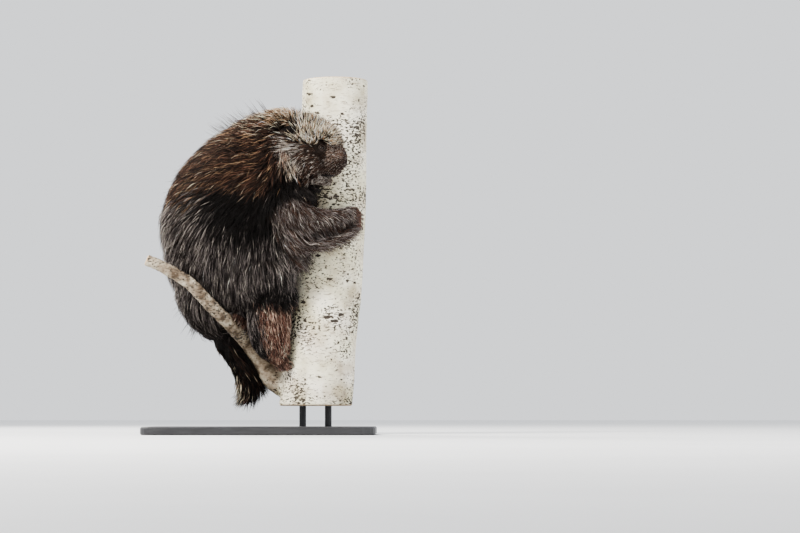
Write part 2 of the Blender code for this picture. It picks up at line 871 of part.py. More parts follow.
def main():
    clear_scene()
    made = new_collection("porcupine")
    work = new_collection("cutters")
    paints = {name: material(name, 0.3 if name == "eye" else 0.8) for name in COLOURS}

    head = head_core(work)
    face = tree_of(head)

    # In order of right of way: each part is cut back from the ones before it
    forms = {
        "perch_trunk": make_trunk(work),
        "perch_limb": make_side_limb(work),
        "eye_right": make_eye("eye_right", face, -1, work),
        "eye_left": make_eye("eye_left", face, 1, work),
        "paw_right": make_forepaw("paw_right", 1, (160, -50, 436), work),
        "paw_left": make_forepaw("paw_left", -1, (134, 124, 451), work),
        "foot_right": make_right_foot(work),
        "foot_left": make_left_foot(work),
    }
    for name, sections in LIMB_SECTIONS.items():
        forms[name] = loft(name, sections, 8, 11, work)
    forms["tail"] = loft("tail", TAIL_SECTIONS, 11, 12, work)
    forms["torso"] = torso_core(work)
    forms["head"] = head
    forms["ear_right"] = make_ear("ear_right", face, -1, work)
    forms["ear_left"] = make_ear("ear_left", face, 1, work)

    plans = {name: [] for name in forms}
    plans["torso"] = torso_plans(forms["torso"])
    plans["head"] = head_plans(face)
    cut_away(forms["torso"], [block_beyond("neck", NECK_TOP, HEADWARD, work)])
    cut_away(head, [block_beyond("neck", NECK_TOP + HEADWARD * GAP, -HEADWARD, work)])
    add_face(head, face, work)
    plans["tail"] = tail_plans(forms["tail"])
    for name, per_row, right, size in (
        ("arm_right", (5, 5, 4), 0.45, (48, 24, 5, 12, 5)),
        ("arm_left", (4, 4, 3), 0.45, (48, 26, 5, 12, 5)),
        ("leg_right", (5, 5, 5), 0.3, (44, 28, 5, 9, 5)),
        ("leg_left", (4, 4), 0.3, (40, 26, 5, 8, 5)),
    ):
        plans[name] = sleeve_plans(forms[name], per_row, hanging_lie(right), size)

    ahead = []
    for name, form in forms.items():
        form.name = name + " form"
        obj = fused(form, plans[name], 0, made)
        cut_back(obj, [other for other in ahead if boxes_meet(obj, other)])
        keep_largest(obj)
        obj.name = name
        obj.data.name = name
        obj.data.materials.clear()
        obj.data.materials.append(paints[PAINTS.get(name, "coat")])
        ahead.append(fused(form, plans[name], GAP, work))

    remove_objects(work.objects)
    make_stand(made, paints)
    for obj in made.objects:
        obj.data.shade_smooth()


main()
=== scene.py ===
"""The looks of the porcupine: one skin under a coat of fine strands, on a quaking aspen perch.

Metres, in the frame's own axes: the animal faces +X with its right side towards -Y. The tables of
sections are those of the solids, in millimetres.
"""

import math

import bmesh
import bpy
import numpy as np
from mathutils import Matrix, Vector
from mathutils.bvhtree import BVHTree
from mathutils.kdtree import KDTree


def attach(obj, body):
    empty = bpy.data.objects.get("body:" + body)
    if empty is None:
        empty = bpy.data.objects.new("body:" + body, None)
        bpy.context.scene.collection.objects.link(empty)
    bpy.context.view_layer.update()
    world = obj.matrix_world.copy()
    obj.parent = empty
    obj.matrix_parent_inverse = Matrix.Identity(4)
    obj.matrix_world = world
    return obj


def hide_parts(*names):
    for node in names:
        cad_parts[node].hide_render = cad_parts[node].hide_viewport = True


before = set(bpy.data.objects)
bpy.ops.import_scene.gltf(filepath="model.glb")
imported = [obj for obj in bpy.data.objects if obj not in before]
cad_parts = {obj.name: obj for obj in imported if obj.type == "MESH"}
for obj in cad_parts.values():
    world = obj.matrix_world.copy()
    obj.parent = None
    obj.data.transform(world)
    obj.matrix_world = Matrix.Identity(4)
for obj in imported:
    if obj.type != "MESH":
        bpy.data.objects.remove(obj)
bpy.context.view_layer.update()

MM = 0.001
rng = np.random.default_rng(20)

# Camera
CAMERA_AIM = (0.280, -0.07, 0.336)
CAMERA_DISTANCE = 5.0
CAMERA_HEIGHT = 0.045
VIEW_WIDTH = 1.6

# Trunk: x, y, z, radius along its leaning axis
TRUNK_AXIS = [
    (108, 35, 58, 74),
    (115, 35, 120, 72),
    (119.5, 35, 172, 70.5),
    (128, 35, 262, 71),
    (135, 35, 350, 70),
    (140, 35, 440, 69),
    (143.5, 35, 560, 68),
    (147, 35, 724, 66.5),
]

# Side limb from the fork: x, y, z, radius
LIMB_PATH = [
    (104, 42, 98, 33),
    (64, 48, 96, 29),
    (24, 48, 112, 23),
    (-4, 36, 152, 18.5),
    (-34, 8, 192, 16),
    (-68, -36, 228, 14),
    (-102, -70, 262, 13),
    (-140, -92, 302, 12.3),
    (-194, -104, 334, 11.6),
    (-224, -108, 347, 11.2),
]

# Body, neck to rump: x, y, z, half depth, half width, and how deep the skin lies inside
TORSO_SECTIONS = [
    (84, -75, 566, 60, 50, 9),
    (44, -67, 556, 78, 62, 11),
    (-12, -46, 508, 112, 82, 14),
    (-50, -26, 440, 129, 90, 14),
    (-60, -6, 366, 114, 88, 14),
    (-70, 14, 302, 99, 76, 14),
    (-98, 26, 252, 61, 58, 12),
    (-112, 30, 222, 26, 28, 8),
]
BULGES = [
    ((-2, -54, 320), (58, 38, 50)),
    ((-4, 76, 320), (54, 36, 50)),
    ((40, -90, 462), (52, 34, 58)),
    ((34, 16, 468), (46, 34, 54)),
    ((62, -70, 398), (42, 32, 52)),
]
BULGE_INSET = 12

# Head: x, z, half height, half width, inset
HEAD_Y = -75
HEAD_SECTIONS = [
    (10, 570, 56, 46, 9),
    (58, 572, 57, 49, 8),
    (80, 568, 56, 48, 7),
    (102, 561, 53, 45, 5),
    (120, 555, 49, 39, 3.5),
    (134, 552, 45, 33.5, 2.5),
    (147, 549, 39, 29.5, 2),
    (157, 546, 31, 26, 1.8),
    (164, 543, 22, 20, 1.5),
    (169.5, 540, 12, 12, 1),
]
HEAD_BUMPS = [
    (100, 34, 540, (24, 13, 22)),
    (126, 22, 590, (14, 10, 7)),
    (151, 10, 531, (13, 12, 11)),
    (163.5, 5, 544, (7.5, 9.5, 8.5)),
    (129, 6, 507, (16, 12, 8)),
    (110, 10, 511, (26, 17, 11)),
]
NOSE = Vector((173, HEAD_Y, 543)) * MM
EYE_AT = Vector((125, HEAD_Y, 571)) * MM
EYE_RADIUS = 5.6
MOUTH_BACK = Vector((124, HEAD_Y, 519.5)) * MM
MOUTH_TURN = 84
EAR_AT = Vector((62, HEAD_Y, 588)) * MM
NECK_MIDDLE = np.array((62, HEAD_Y, 560)) * MM
HEADWARD = np.array((120, 0, 48)) / math.hypot(120, 48)

# Tail, base to tip: x, y, z, half depth, half width, inset
TAIL_SECTIONS = [
    (-110, 26, 252, 30, 36, 9),
    (-94, 32, 224, 30, 36, 10),
    (-67, 46, 186, 28, 33, 9),
    (-39, 62, 146, 26, 30, 8),
    (-24, 74, 112, 23, 25, 7),
    (-26, 78, 88, 13, 14, 5),
]

# Arms and lower legs: x, y, z, half depth, half width, inset
LIMB_SECTIONS = {
    "arm_right": [
        (46, -88, 458, 32, 28, 8),
        (74, -96, 428, 31, 28, 7),
        (104, -90, 421, 28, 25, 7),
        (136, -70, 425, 23, 20, 6),
        (158, -52, 434, 16, 14.5, 3),
    ],
    "arm_left": [
        (38, 18, 474, 30, 26, 8),
        (44, 74, 444, 27, 25, 7),
        (62, 114, 436, 23, 22, 6),
        (100, 128, 444, 18.5, 18, 5),
        (130, 125, 450, 15, 14, 3),
    ],
    "leg_right": [
        (8, -38, 312, 40, 34, 9),
        (14, -32, 268, 38, 33, 8),
        (12, -26, 222, 37, 31, 7),
        (16, -20, 190, 32, 27, 6),
        (26, -14, 166, 22, 19, 3),
    ],
    "leg_left": [
        (-2, 84, 318, 38, 34, 9),
        (-6, 92, 280, 31, 28, 7),
        (-20, 84, 256, 22, 21, 5),
        (-30, 66, 246, 15, 16, 3),
    ],
}
FLESH = (
    "torso",
    "head",
    "ear_right",
    "ear_left",
    "tail",
    "arm_right",
    "arm_left",
    "leg_right",
    "leg_left",
    "paw_right",
    "paw_left",
    "foot_right",
    "foot_left",
)


# Curves and closed meshes


def spline(rows, count):
    """Catmull-Rom through rows of numbers, sampled at count even steps."""
    rows = np.array(rows, float)
    padded = np.vstack([2 * rows[0] - rows[1], rows, 2 * rows[-1] - rows[-2]])
    sampled = []
    for t in np.linspace(0, len(rows) - 1, count):
        i = min(int(t), len(rows) - 2)
        f = t - i
        a, b, c, d = padded[i : i + 4]
        sampled.append(
            b
            + 0.5 * f * (c - a)
            + f * f * (a - 2.5 * b + 2 * c - 0.5 * d)
            + f * f * f * (1.5 * b - 1.5 * c + 0.5 * d - 0.5 * a)
        )
    return np.array(sampled)


def unit(v):
    return v / np.maximum(np.linalg.norm(v, axis=-1, keepdims=True), 1e-9)


class Shell:
    """Vertices and faces of many closed pieces, gathered for one mesh."""

    def __init__(self):
        self.verts = []
        self.faces = []

    def rings(self, rings, first=None, last=None):
        start = len(self.verts)
        count = len(rings[0])
        for ring in rings:
            self.verts.extend(map(tuple, ring))
        for row in range(len(rings) - 1):
            for i in range(count):
                j = (i + 1) % count
                a = start + row * count
                self.faces.append((a + i, a + j, a + count + j, a + count + i))
        for offset, tip in ((0, first), (count * (len(rings) - 1), last)):
            loop = [start + offset + i for i in range(count)]
            if tip is None:
                self.faces.append(loop)
                continue
            self.verts.append(tuple(tip))
            for i in range(count):
                self.faces.append((loop[i], loop[(i + 1) % count], len(self.verts) - 1))

    def loft(self, sections, count, sides, side=(0, 1, 0), inset=True, round_ends=True):
        """Oval sections along a smooth path; rows are x, y, z, depth, width, inset in mm."""
        rows = spline(sections, count)
        if not inset:
            rows[:, 5:] = 0
        points = rows[:, :3] * MM
        ahead = unit(np.gradient(points, axis=0))
        side = np.array(side, float)
        across = unit(side - ahead * (ahead @ side)[:, None])
        up = np.cross(ahead, across)
        turns = np.linspace(0, 2 * math.pi, sides, endpoint=False)
        depth = (rows[:, 3] - rows[:, 5])[:, None] * np.cos(turns) * MM
        width = (rows[:, 4] - rows[:, 5])[:, None] * np.sin(turns) * MM
        rings = points[:, None] + up[:, None] * depth[..., None] + across[:, None] * width[..., None]
        if not round_ends:
            self.rings(rings)
            return
        start = points[0] - ahead[0] * (rows[0, 3] - rows[0, 5]) * 0.35 * MM
        end = points[-1] + ahead[-1] * (rows[-1, 3] - rows[-1, 5]) * 0.5 * MM
        self.rings(rings, start, end)

    def tube(self, points, radii, sides, flat=1.0):
        rows = [(*(np.array(p) / MM), r, r * flat, 0) for p, r in zip(points, radii)]
        self.loft(rows, len(rows) * 2 - 1, sides, (0, 0, 1))

    def ellipsoid(self, centre, sizes, turn=None, rings=16, sides=28):
        turn = turn or Matrix.Identity(3)
        rows = []
        for i in range(1, rings):
            lean = math.pi * i / rings
            row = []
            for k in range(sides):
                around = 2 * math.pi * k / sides
                x = math.sin(lean) * math.cos(around) * sizes[0]
                y = math.sin(lean) * math.sin(around) * sizes[1]
                spot = turn @ Vector((x, y, math.cos(lean) * sizes[2]))
                row.append((np.array(spot) + centre) * MM)
            rows.append(row)
        top, low = (turn @ Vector((0, 0, way * sizes[2])) for way in (1, -1))
        self.rings(rows, (np.array(top) + centre) * MM, (np.array(low) + centre) * MM)

    def build(self, name):
        mesh = bpy.data.meshes.new(name)
        mesh.from_pydata(self.verts, [], self.faces)
        bm = bmesh.new()
        bm.from_mesh(mesh)
        bmesh.ops.recalc_face_normals(bm, faces=bm.faces)
        bm.to_mesh(mesh)
        bm.free()
        obj = bpy.data.objects.new(name, mesh)
        bpy.context.scene.collection.objects.link(obj)
        return obj


def applied(obj):
    graph = bpy.context.evaluated_depsgraph_get()
    mesh = bpy.data.meshes.new_from_object(obj.evaluated_get(graph))
    old = obj.data
    obj.modifiers.clear()
    obj.data = mesh
    bpy.data.meshes.remove(old)
    mesh.name = obj.name


def melt(obj, voxel, rounds, factor=0.5):
    """Makes one even skin of overlapping closed pieces."""
    remesh = obj.modifiers.new("even", "REMESH")
    remesh.mode = "VOXEL"
    remesh.voxel_size = voxel * MM
    remesh.use_smooth_shade = True
    smooth = obj.modifiers.new("soft", "SMOOTH")
    smooth.factor = factor
    smooth.iterations = rounds
    applied(obj)


def coords(mesh):
    found = np.empty(len(mesh.vertices) * 3)
    mesh.vertices.foreach_get("co", found)
    return found.reshape(-1, 3)


def normals(mesh):
    found = np.empty(len(mesh.vertices) * 3)
    mesh.vertices.foreach_get("normal", found)
    return found.reshape(-1, 3)


def paint(mesh, name, values):
    """A colour per vertex, for the materials to read."""
    colours = np.ones((len(mesh.vertices), 4))
    colours[:, :3] = values if values.ndim == 2 else values[:, None]
    layer = mesh.color_attributes.new(name, "FLOAT_COLOR", "POINT")
    layer.data.foreach_set("color", colours.ravel())


def ramp(values, places, colours):
    """Colours along a number, straight between the places."""
    return np.stack([np.interp(values, places, [c[i] for c in colours]) for i in range(3)], -1)


def step(values, low, high):
    t = np.clip((values - low) / (high - low), 0, 1)
    return t * t * (3 - 2 * t)


def waves(p, size, seed):
    """A smooth random field between -1 and 1 over points in metres, size in mm."""
    made = np.random.default_rng(seed)
    total = np.zeros(len(p))
    for _ in range(7):
        direction = made.normal(size=3)
        total += np.sin(p @ direction / (size * MM) * 2.2 + made.uniform(0, 6.3))
    return np.clip(total / 4.2, -1, 1)


# Places on the perch


def trunk_at(height):
    rows = np.array(TRUNK_AXIS, float) * MM
    x, y, radius = (np.interp(height, rows[:, 2], rows[:, i]) for i in (0, 1, 3))
    return x, y, radius


def on_trunk(turn, height, out, far=1):
    x, y, radius = trunk_at(height * MM)
    angle = math.radians(turn)
    reach = radius + out * MM
    return Vector((x + math.sin(angle) * reach, y - far * math.cos(angle) * reach, height * MM))


def on_limb(share, turn, out):
    rows = spline(LIMB_PATH, 101) * MM
    i = round(share * 100)
    along = Vector(rows[i + 1][:3] - rows[i - 1][:3]).normalized()
    up = (Vector((0, 0, 1)) - along * along.z).normalized()
    angle = math.radians(turn)
    ray = up * math.cos(angle) + up.cross(along) * math.sin(angle)
    return Vector(rows[i][:3]) + ray * (rows[i][3] + out * MM)


# The skin, its claws and eyes


def forepaw(skin, claws, wrist, far):
    palm = on_trunk(34, wrist[2] + 3, 11, far) / MM
    toes = on_trunk(43, wrist[2] + 3, 9, far) / MM
    skin.loft([(*wrist, 14, 12, 1), (*palm, 17, 9.5, 1), (*toes, 16, 7, 1)], 8, 20)
    for k in range(4):
        height = wrist[2] + 13 - 6.6 * k
        fall = -2.5 - 1.2 * k
        path = [(40, 0, 6.5), (47, fall * 0.4, 6.2), (53, fall, 4.6)]
        skin.tube([on_trunk(a, height + h, o, far) for a, h, o in path], (4.4, 4.6, 3.4), 14)
        path = [(51, fall, 4.8), (58, fall * 1.5, 5.6), (63, fall * 2.1, 4.2), (66, fall * 2.5, 0.9)]
        claws.tube([on_trunk(a, height + h, o, far) for a, h, o in path], (2.5, 2.2, 1.4, 0.5), 10)


def right_foot(skin, claws):
    skin.loft([(20, -12, 174, 18, 17, 1), (30, -9, 160, 14, 18, 1), (40, -4, 151, 9, 18, 1)], 8, 20)
    for k in range(5):
        y = -22 + 8.5 * k
        path = [(36, y, 152), (46, y + 1, 150 + 1.2 * k), (53, y + 1.5, 146)]
        skin.tube([np.array(p) * MM for p in path], (4.4, 4.6, 3.4), 14)
        path = [(52, y + 1.4, 146.5), (60, y + 2, 146), (64, y + 2, 143), (66, y + 2, 138)]
        claws.tube([np.array(p) * MM for p in path], (2.4, 2.1, 1.4, 0.5), 10)


def left_foot(skin, claws):
    ankle = Vector(LIMB_SECTIONS["leg_left"][-1][:3])
    ball = on_limb(0.515, -4, 7) / MM
    middle = (ankle + ball) / 2 + Vector((0, 0, 5))
    rows = [(*ankle, 15, 16, 1), (*middle, 13, 17, 1), (*ball, 8, 17, 1)]
    skin.loft(rows, 10, 20, side=(1, 0, 0))
    for k in range(5):
        share = 0.485 + 0.0165 * k
        path = [(4, 6.5), (30, 5.6), (52, 4.2)]
        skin.tube([on_limb(share, a, o) for a, o in path], (4.2, 4.3, 3.2), 14)
        path = [(49, 4.6), (66, 5.4), (80, 4.0), (90, 0.9)]
        claws.tube([on_limb(share, a, o) for a, o in path], (2.4, 2.1, 1.4, 0.5), 10)


def ear(skin, head_tree, way):
    found, outward, _, _ = head_tree.ray_cast(EAR_AT, Vector((0, way * 0.75, 0.7)))
    centre = np.array(found + outward * 8 * MM) / MM
    lean = Matrix.Rotation(math.radians(way * 48), 3, "Z") @ Matrix.Rotation(math.radians(-12), 3, "Y")
    for k in range(15):
        turn = 2 * math.pi * k / 15
        rim = lean @ Vector((1.2, 11 * math.sin(turn), 15.5 * math.cos(turn)))
        skin.ellipsoid(centre + np.array(rim), (2.3, 3.0, 3.6), lean, 6, 8)
    back = lean @ Vector((-1.4, 0, 0))
    skin.ellipsoid(centre + np.array(back), (2.4, 11, 15.5), lean)


def head_shell():
    shell = Shell()
    shell.loft([(x, HEAD_Y, z, h, w, s) for x, z, h, w, s in HEAD_SECTIONS], 25, 40)
    for x, out, z, sizes in HEAD_BUMPS:
        for way in (-1, 1):
            shell.ellipsoid((x, HEAD_Y + way * out, z), np.array(sizes) * 0.94)
    return shell


def tree_of(verts, faces):
    return BVHTree.FromPolygons([Vector(v) for v in verts], [list(f) for f in faces])


def eye_places(tree):
    """For each side: middle of the eyeball and the way it looks."""
    places = {}
    for name, way in (("right", -1), ("left", 1)):
        found, outward, _, _ = tree.ray_cast(EYE_AT, Vector((0, way, 0)))
        places[name] = (found - outward * EYE_RADIUS * 0.62 * MM, outward)
    return places


def mouth_line(tree):
    line = []
    for turn in np.linspace(-MOUTH_TURN, MOUTH_TURN, 41):
        angle = math.radians(turn)
        found = tree.ray_cast(MOUTH_BACK, Vector((math.cos(angle), math.sin(angle), 0)))[0]
        line.append(np.array(found) - (0, 0, 0.03 * MM * (abs(turn) - 40)))
    return np.array(line)


def nearest_gap(p, line):
    return np.sqrt(((p[:, None] - line[None]) ** 2).sum(-1)).min(1) / MM


def refine_face(mesh, box_low, box_high):
    """Halves the faces of the front of the head."""
    bm = bmesh.new()
    bm.from_mesh(mesh)
    edges = [
        edge
        for edge in bm.edges
        if all(box_low[i] < v.co[i] < box_high[i] for v in edge.verts for i in range(3))
    ]
    bmesh.ops.subdivide_edges(bm, edges=edges, cuts=1, use_grid_fill=True)
    bm.to_mesh(mesh)
    bm.free()


def nostril_places(tree):
    places = []
    for way in (-1, 1):
        ray = Vector((1, way * 0.52, 0.10)).normalized()
        places.append(np.array(tree.ray_cast(NOSE - Vector((20 * MM, 0, 0)), ray)[0]))
    return places


def shape_face(mesh, eyes, mouth, nostrils):
    """Sockets and lids, nostrils and their rims, the mouth between its lips."""
    p = coords(mesh)
    n = normals(mesh)
    rise = np.zeros(len(p))
    near = np.linalg.norm(p - np.array(EYE_AT), axis=1) < 75 * MM
    q = p[near]
    push = np.zeros(len(q))
    for middle, outward in eyes.values():
        offset = (q - np.array(middle)) / MM
        facing = np.array(outward)
        along = offset @ facing
        across = offset - along[:, None] * facing
        oval = np.sqrt(across[:, 0] ** 2 + (across[:, 1]) ** 2 + (across[:, 2] * 1.25) ** 2)
        side = np.clip(along / 3, 0, 1)
        push += side * -1.6 * np.exp(-((oval / 13) ** 2))
        push += side * 2.6 * np.exp(-(((oval - 6.6) / 1.7) ** 2))
        push += side * -6.0 * np.exp(-((oval / 3.4) ** 4))
        push += side * -0.9 * np.exp(-(((oval - 10.5) / 1.5) ** 2))
    gap = nearest_gap(q, mouth)
    push += -3.4 * np.exp(-((gap / 1.25) ** 2)) + 1.2 * np.exp(-(((gap - 3.2) / 1.5) ** 2))
    for hole in nostrils:
        gap = np.linalg.norm((q - hole) * (1, 1, 0.72), axis=1) / MM
        push += -4.6 * np.exp(-((gap / 2.4) ** 2)) + 1.0 * np.exp(-(((gap - 4.4) / 1.5) ** 2))
    cleft = np.abs(q[:, 1] / MM - HEAD_Y) / 0.9
    front = step(q[:, 0] / MM, 160, 168) * step(q[:, 2] / MM, 519, 524) * step(q[:, 2] / MM, 549, 543)
    push += -1.5 * np.exp(-(cleft**2)) * front
    push += 0.35 * waves(q, 3.4, 5) * step(q[:, 0] / MM, 135, 150)
    rise[near] = push
    mesh.vertices.foreach_set("co", (p + n * rise[:, None] * MM).ravel())
    mesh.update()


def make_flesh():
    head = head_shell()
    head_tree = tree_of(head.verts, head.faces)
    skin = Shell()
    claws = {name: Shell() for name in ("paw_right", "paw_left", "foot_right", "foot_left")}
    skin.loft(TORSO_SECTIONS, 40, 60)
    for centre, sizes in BULGES:
        skin.ellipsoid(np.array(centre), np.array(sizes) - BULGE_INSET)
    skin.loft(TAIL_SECTIONS, 24, 32)
    for sections in LIMB_SECTIONS.values():
        skin.loft(sections, 20, 32)
    start = len(skin.verts)
    skin.verts.extend(head.verts)
    skin.faces.extend([tuple(start + i for i in face) for face in head.faces])
    for way in (-1, 1):
        ear(skin, head_tree, way)
    forepaw(skin, claws["paw_right"], (160, -50, 436), 1)
    forepaw(skin, claws["paw_left"], (134, 124, 451), -1)
    right_foot(skin, claws["foot_right"])
    left_foot(skin, claws["foot_left"])

    obj = skin.build("skin")
    melt(obj, 2.3, 5)
    refine_face(obj.data, np.array((92, -150, 480)) * MM, np.array((200, 0, 640)) * MM)
    smooth_tree = tree_of(coords(obj.data), [p.vertices for p in obj.data.polygons])
    eyes = eye_places(smooth_tree)
    mouth = mouth_line(smooth_tree)
    nostrils = nostril_places(smooth_tree)
    shape_face(obj.data, eyes, mouth, nostrils)
    return obj, claws, eyes, mouth, nostrils


# Which form a point of the skin belongs to, and where along and round it


class Forms:
    """The axes of the body's forms, to tell points of the skin apart."""

    def __init__(self):
        tables = {
            "torso": TORSO_SECTIONS,
            "head": [(x, HEAD_Y, z, h, w, s) for x, z, h, w, s in HEAD_SECTIONS],
            "tail": TAIL_SECTIONS,
            **LIMB_SECTIONS,
            "paw_right": [(160, -50, 436, 14, 12, 1), (*on_trunk(47, 437, 7) / MM, 13, 8, 1)],
            "paw_left": [(134, 124, 451, 14, 12, 1), (*on_trunk(47, 452, 7, -1) / MM, 13, 8, 1)],
            "foot_right": [(26, -12, 166, 15, 15, 1), (56, 0, 147, 7, 14, 1)],
            "foot_left": [(-34, 52, 240, 13, 14, 1), (*on_limb(0.515, 30, 5) / MM, 7, 12, 1)],
        }
        self.names = list(tables)
        self.rows = {name: spline(rows, 24) for name, rows in tables.items()}

    def sort(self, p):
        """Index of the form each point lies on, its share along that form and turn round it."""
        best = np.full(len(p), 1e9)
        form = np.zeros(len(p), int)
        share = np.zeros(len(p))
        turn = np.zeros(len(p))
        for i, name in enumerate(self.names):
            rows = self.rows[name]
            axis = rows[:, :3] * MM
            ahead = unit(np.gradient(axis, axis=0))
            across = unit(np.array((0, 1.0, 0.02)) - ahead * (ahead @ (0, 1.0, 0.02))[:, None])
            up = np.cross(ahead, across)
            for j, row in enumerate(rows):
                offset = (p - axis[j]) / MM
                high = offset @ up[j]
                wide = offset @ across[j]
                long = offset @ ahead[j]
                depth, width = row[3] - row[5], row[4] - row[5]
                reach = np.sqrt((high / depth) ** 2 + (wide / width) ** 2 + (long / width) ** 2)
                gap = (reach - 1) * (depth + width) / 2
                closer = gap < best
                best[closer] = gap[closer]
                form[closer] = i
                share[closer] = j / (len(rows) - 1)
                turn[closer] = np.arctan2(wide, high)[closer]
        beyond = (p - NECK_MIDDLE) @ HEADWARD
        torso, head = self.names.index("torso"), self.names.index("head")
        form[(form == torso) & (beyond > 0) & (p[:, 2] > 510 * MM)] = head
        form[(form == head) & (beyond < 0)] = torso
        return form, share, turn


# The coat: where strands grow, how they lie and what colour they are

DARK = (0.012, 0.009, 0.008)
BROWN = (0.038, 0.021, 0.014)
RUST = (0.180, 0.090, 0.058)
TAN = (0.420, 0.270, 0.160)
CREAM = (0.780, 0.640, 0.480)
GREY = (0.205, 0.176, 0.165)
PALE = (0.520, 0.465, 0.410)
REDDISH = (0.250, 0.125, 0.092)
FLECK = (0.390, 0.275, 0.215)

DENSITY = {
    "torso": 0.172,
    "head": 0.36,
    "tail": 0.20,
    "arm_right": 0.34,
    "arm_left": 0.22,
    "leg_right": 0.26,
    "leg_left": 0.20,
    "paw_right": 1.00,
    "paw_left": 0.70,
    "foot_right": 0.60,
    "foot_left": 0.80,
}
MOST_STRANDS = 12000
LOCK_LEADERS = 0.08
EAR_HOLLOW = (63, 0, 606)

# Outline of body and crown seen from the side, round from the brow over the back: x, z
OUTLINE_CENTRE = (-40, 420)
OUTLINE = [
    (170, 560),
    (168, 582),
    (158, 606),
    (140, 623),
    (118, 641),
    (94, 650),
    (50, 659),
    (28, 653),
    (-17, 641),
    (-48, 627),
    (-70, 619),
    (-106, 612),
    (-138, 601),
    (-164, 579),
    (-182, 556),
    (-196, 530),
    (-202, 507),
    (-207, 476),
    (-212, 438),
    (-207, 396),
    (-200, 360),
    (-194, 328),
    (-180, 284),
    (-166, 252),
    (-148, 226),
    (-122, 206),
    (-92, 190),
    (-66, 176),
]


def body_lie(p):
    """Back along the spine, turning down over the flanks, then hanging."""
    x, z = p[:, 0] / MM, p[:, 2] / MM
    slope = np.interp(z, (260, 330, 400, 450, 490, 530, 590), (100, 94, 86, 64, 40, 20, 8))
    slope = slope + np.where(z < 500, np.clip((x + 30) * 0.17, -26, 16), 0)
    slope = slope + step(x, 10, 60) * step(z, 610, 570) * (96 - slope)
    slope = slope + 26 * step(x, -90, -150) * step(z, 330, 250)
    slope = np.radians(slope)
    return np.stack([-np.cos(slope), 0 * slope, -np.sin(slope)], -1)


def along_form(forms, name, share):
    axis = forms.rows[name][:, :3] * MM
    ahead = unit(np.gradient(axis, axis=0))
    return ahead[np.clip((share * 23).round().astype(int), 0, 23)]


def spread_strands(skin, forms, eyes, mouth):
    """Roots of the coat with everything that shapes and colours each strand."""
    mesh = skin.data
    mesh.calc_loop_triangles()
    verts, turned = coords(mesh), normals(mesh)
    tris = np.empty(len(mesh.loop_triangles) * 3, int)
    mesh.loop_triangles.foreach_get("vertices", tris)
    tris = tris.reshape(-1, 3)
    form, share, turn = forms.sort(verts)
    a, b, c = (verts[tris[:, i]] for i in range(3))
    area = np.linalg.norm(np.cross(b - a, c - a), axis=1) / 2 / MM**2
    dense = np.array([DENSITY[name] for name in forms.names])[form[tris[:, 0]]]
    centre = (a + b + c) / 3
    is_head = form[tris[:, 0]] == forms.names.index("head")
    dense = dense * np.where(is_head, np.interp(centre[:, 0] / MM, (70, 105, 140), (1, 2.1, 3.6)), 1)
    hidden = clearance_of_perch(centre) < 2.5 * MM
    dense = np.where(hidden, 0, dense)
    count = int((area * dense).sum())
    chosen = rng.choice(len(tris), count, p=area * dense / (area * dense).sum())
    u, v = rng.random((2, count, 1))
    flip = u + v > 1
    u, v = np.where(flip, 1 - u, u), np.where(flip, 1 - v, v)
    corners = tris[chosen]
    p = verts[corners[:, 0]] * (1 - u - v) + verts[corners[:, 1]] * u + verts[corners[:, 2]] * v
    n = unit(turned[corners].sum(1))
    pick = corners[:, 0]
    form, share, turn = form[pick], share[pick], turn[pick]

    bare = np.zeros(count, bool)
    for middle, _ in eyes.values():
        bare |= np.linalg.norm(p - np.array(middle), axis=1) < 8.0 * MM
    near = np.linalg.norm(p - np.array(NOSE), axis=1) < 70 * MM
    bare[near] |= nearest_gap(p[near], mouth) < 2.2
    bare |= np.linalg.norm((p - np.array(NOSE)) * (1, 1, 0.8), axis=1) < 8.5 * MM
    keep = ~bare
    return p[keep], n[keep], form[keep], share[keep], turn[keep]


def clearance_of_perch(p):
    """Distance from points to the bark of the trunk or side limb."""
    x, y, radius = trunk_at(p[:, 2])
    gap = np.hypot(p[:, 0] - x, p[:, 1] - y) - radius
    for row in spline(LIMB_PATH, 60) * MM:
        gap = np.minimum(gap, np.linalg.norm(p - row[:3], axis=1) - row[3])
    return gap


def clear_of_perch(p, margin=1.2):
    """Moves points that are inside the perch out to its bark."""
    p = p.copy()
    for row in spline(LIMB_PATH, 60) * MM:
        offset = p - row[:3]
        gap = np.linalg.norm(offset, axis=1, keepdims=True)
        reach = row[3] + margin * MM
        p = np.where(gap < reach, row[:3] + offset / np.maximum(gap, 1e-6) * reach, p)
    x, y, radius = trunk_at(p[:, 2])
    offset = p[:, :2] - np.stack([x, y], -1)
    gap = np.linalg.norm(offset, axis=1, keepdims=True)
    reach = radius[:, None] + margin * MM
    p[:, :2] = np.where(gap < reach, p[:, :2] - offset + offset / np.maximum(gap, 1e-6) * reach, p[:, :2])
    p[:, 2] = np.clip(p[:, 2], 22 * MM, None)
    return p


def picked(luck, *choices):
    """A colour for each strand; every choice is a share and its colour."""
    ends = np.cumsum([share for share, _ in choices])
    index = np.minimum(np.searchsorted(ends, luck), len(choices) - 1)
    return np.array([colour for _, colour in choices])[index]


def between(values, *places):
    """One inside the two middle places, zero outside the outer two, smooth between."""
    return step(values, places[0], places[1]) * step(values, places[3], places[2])


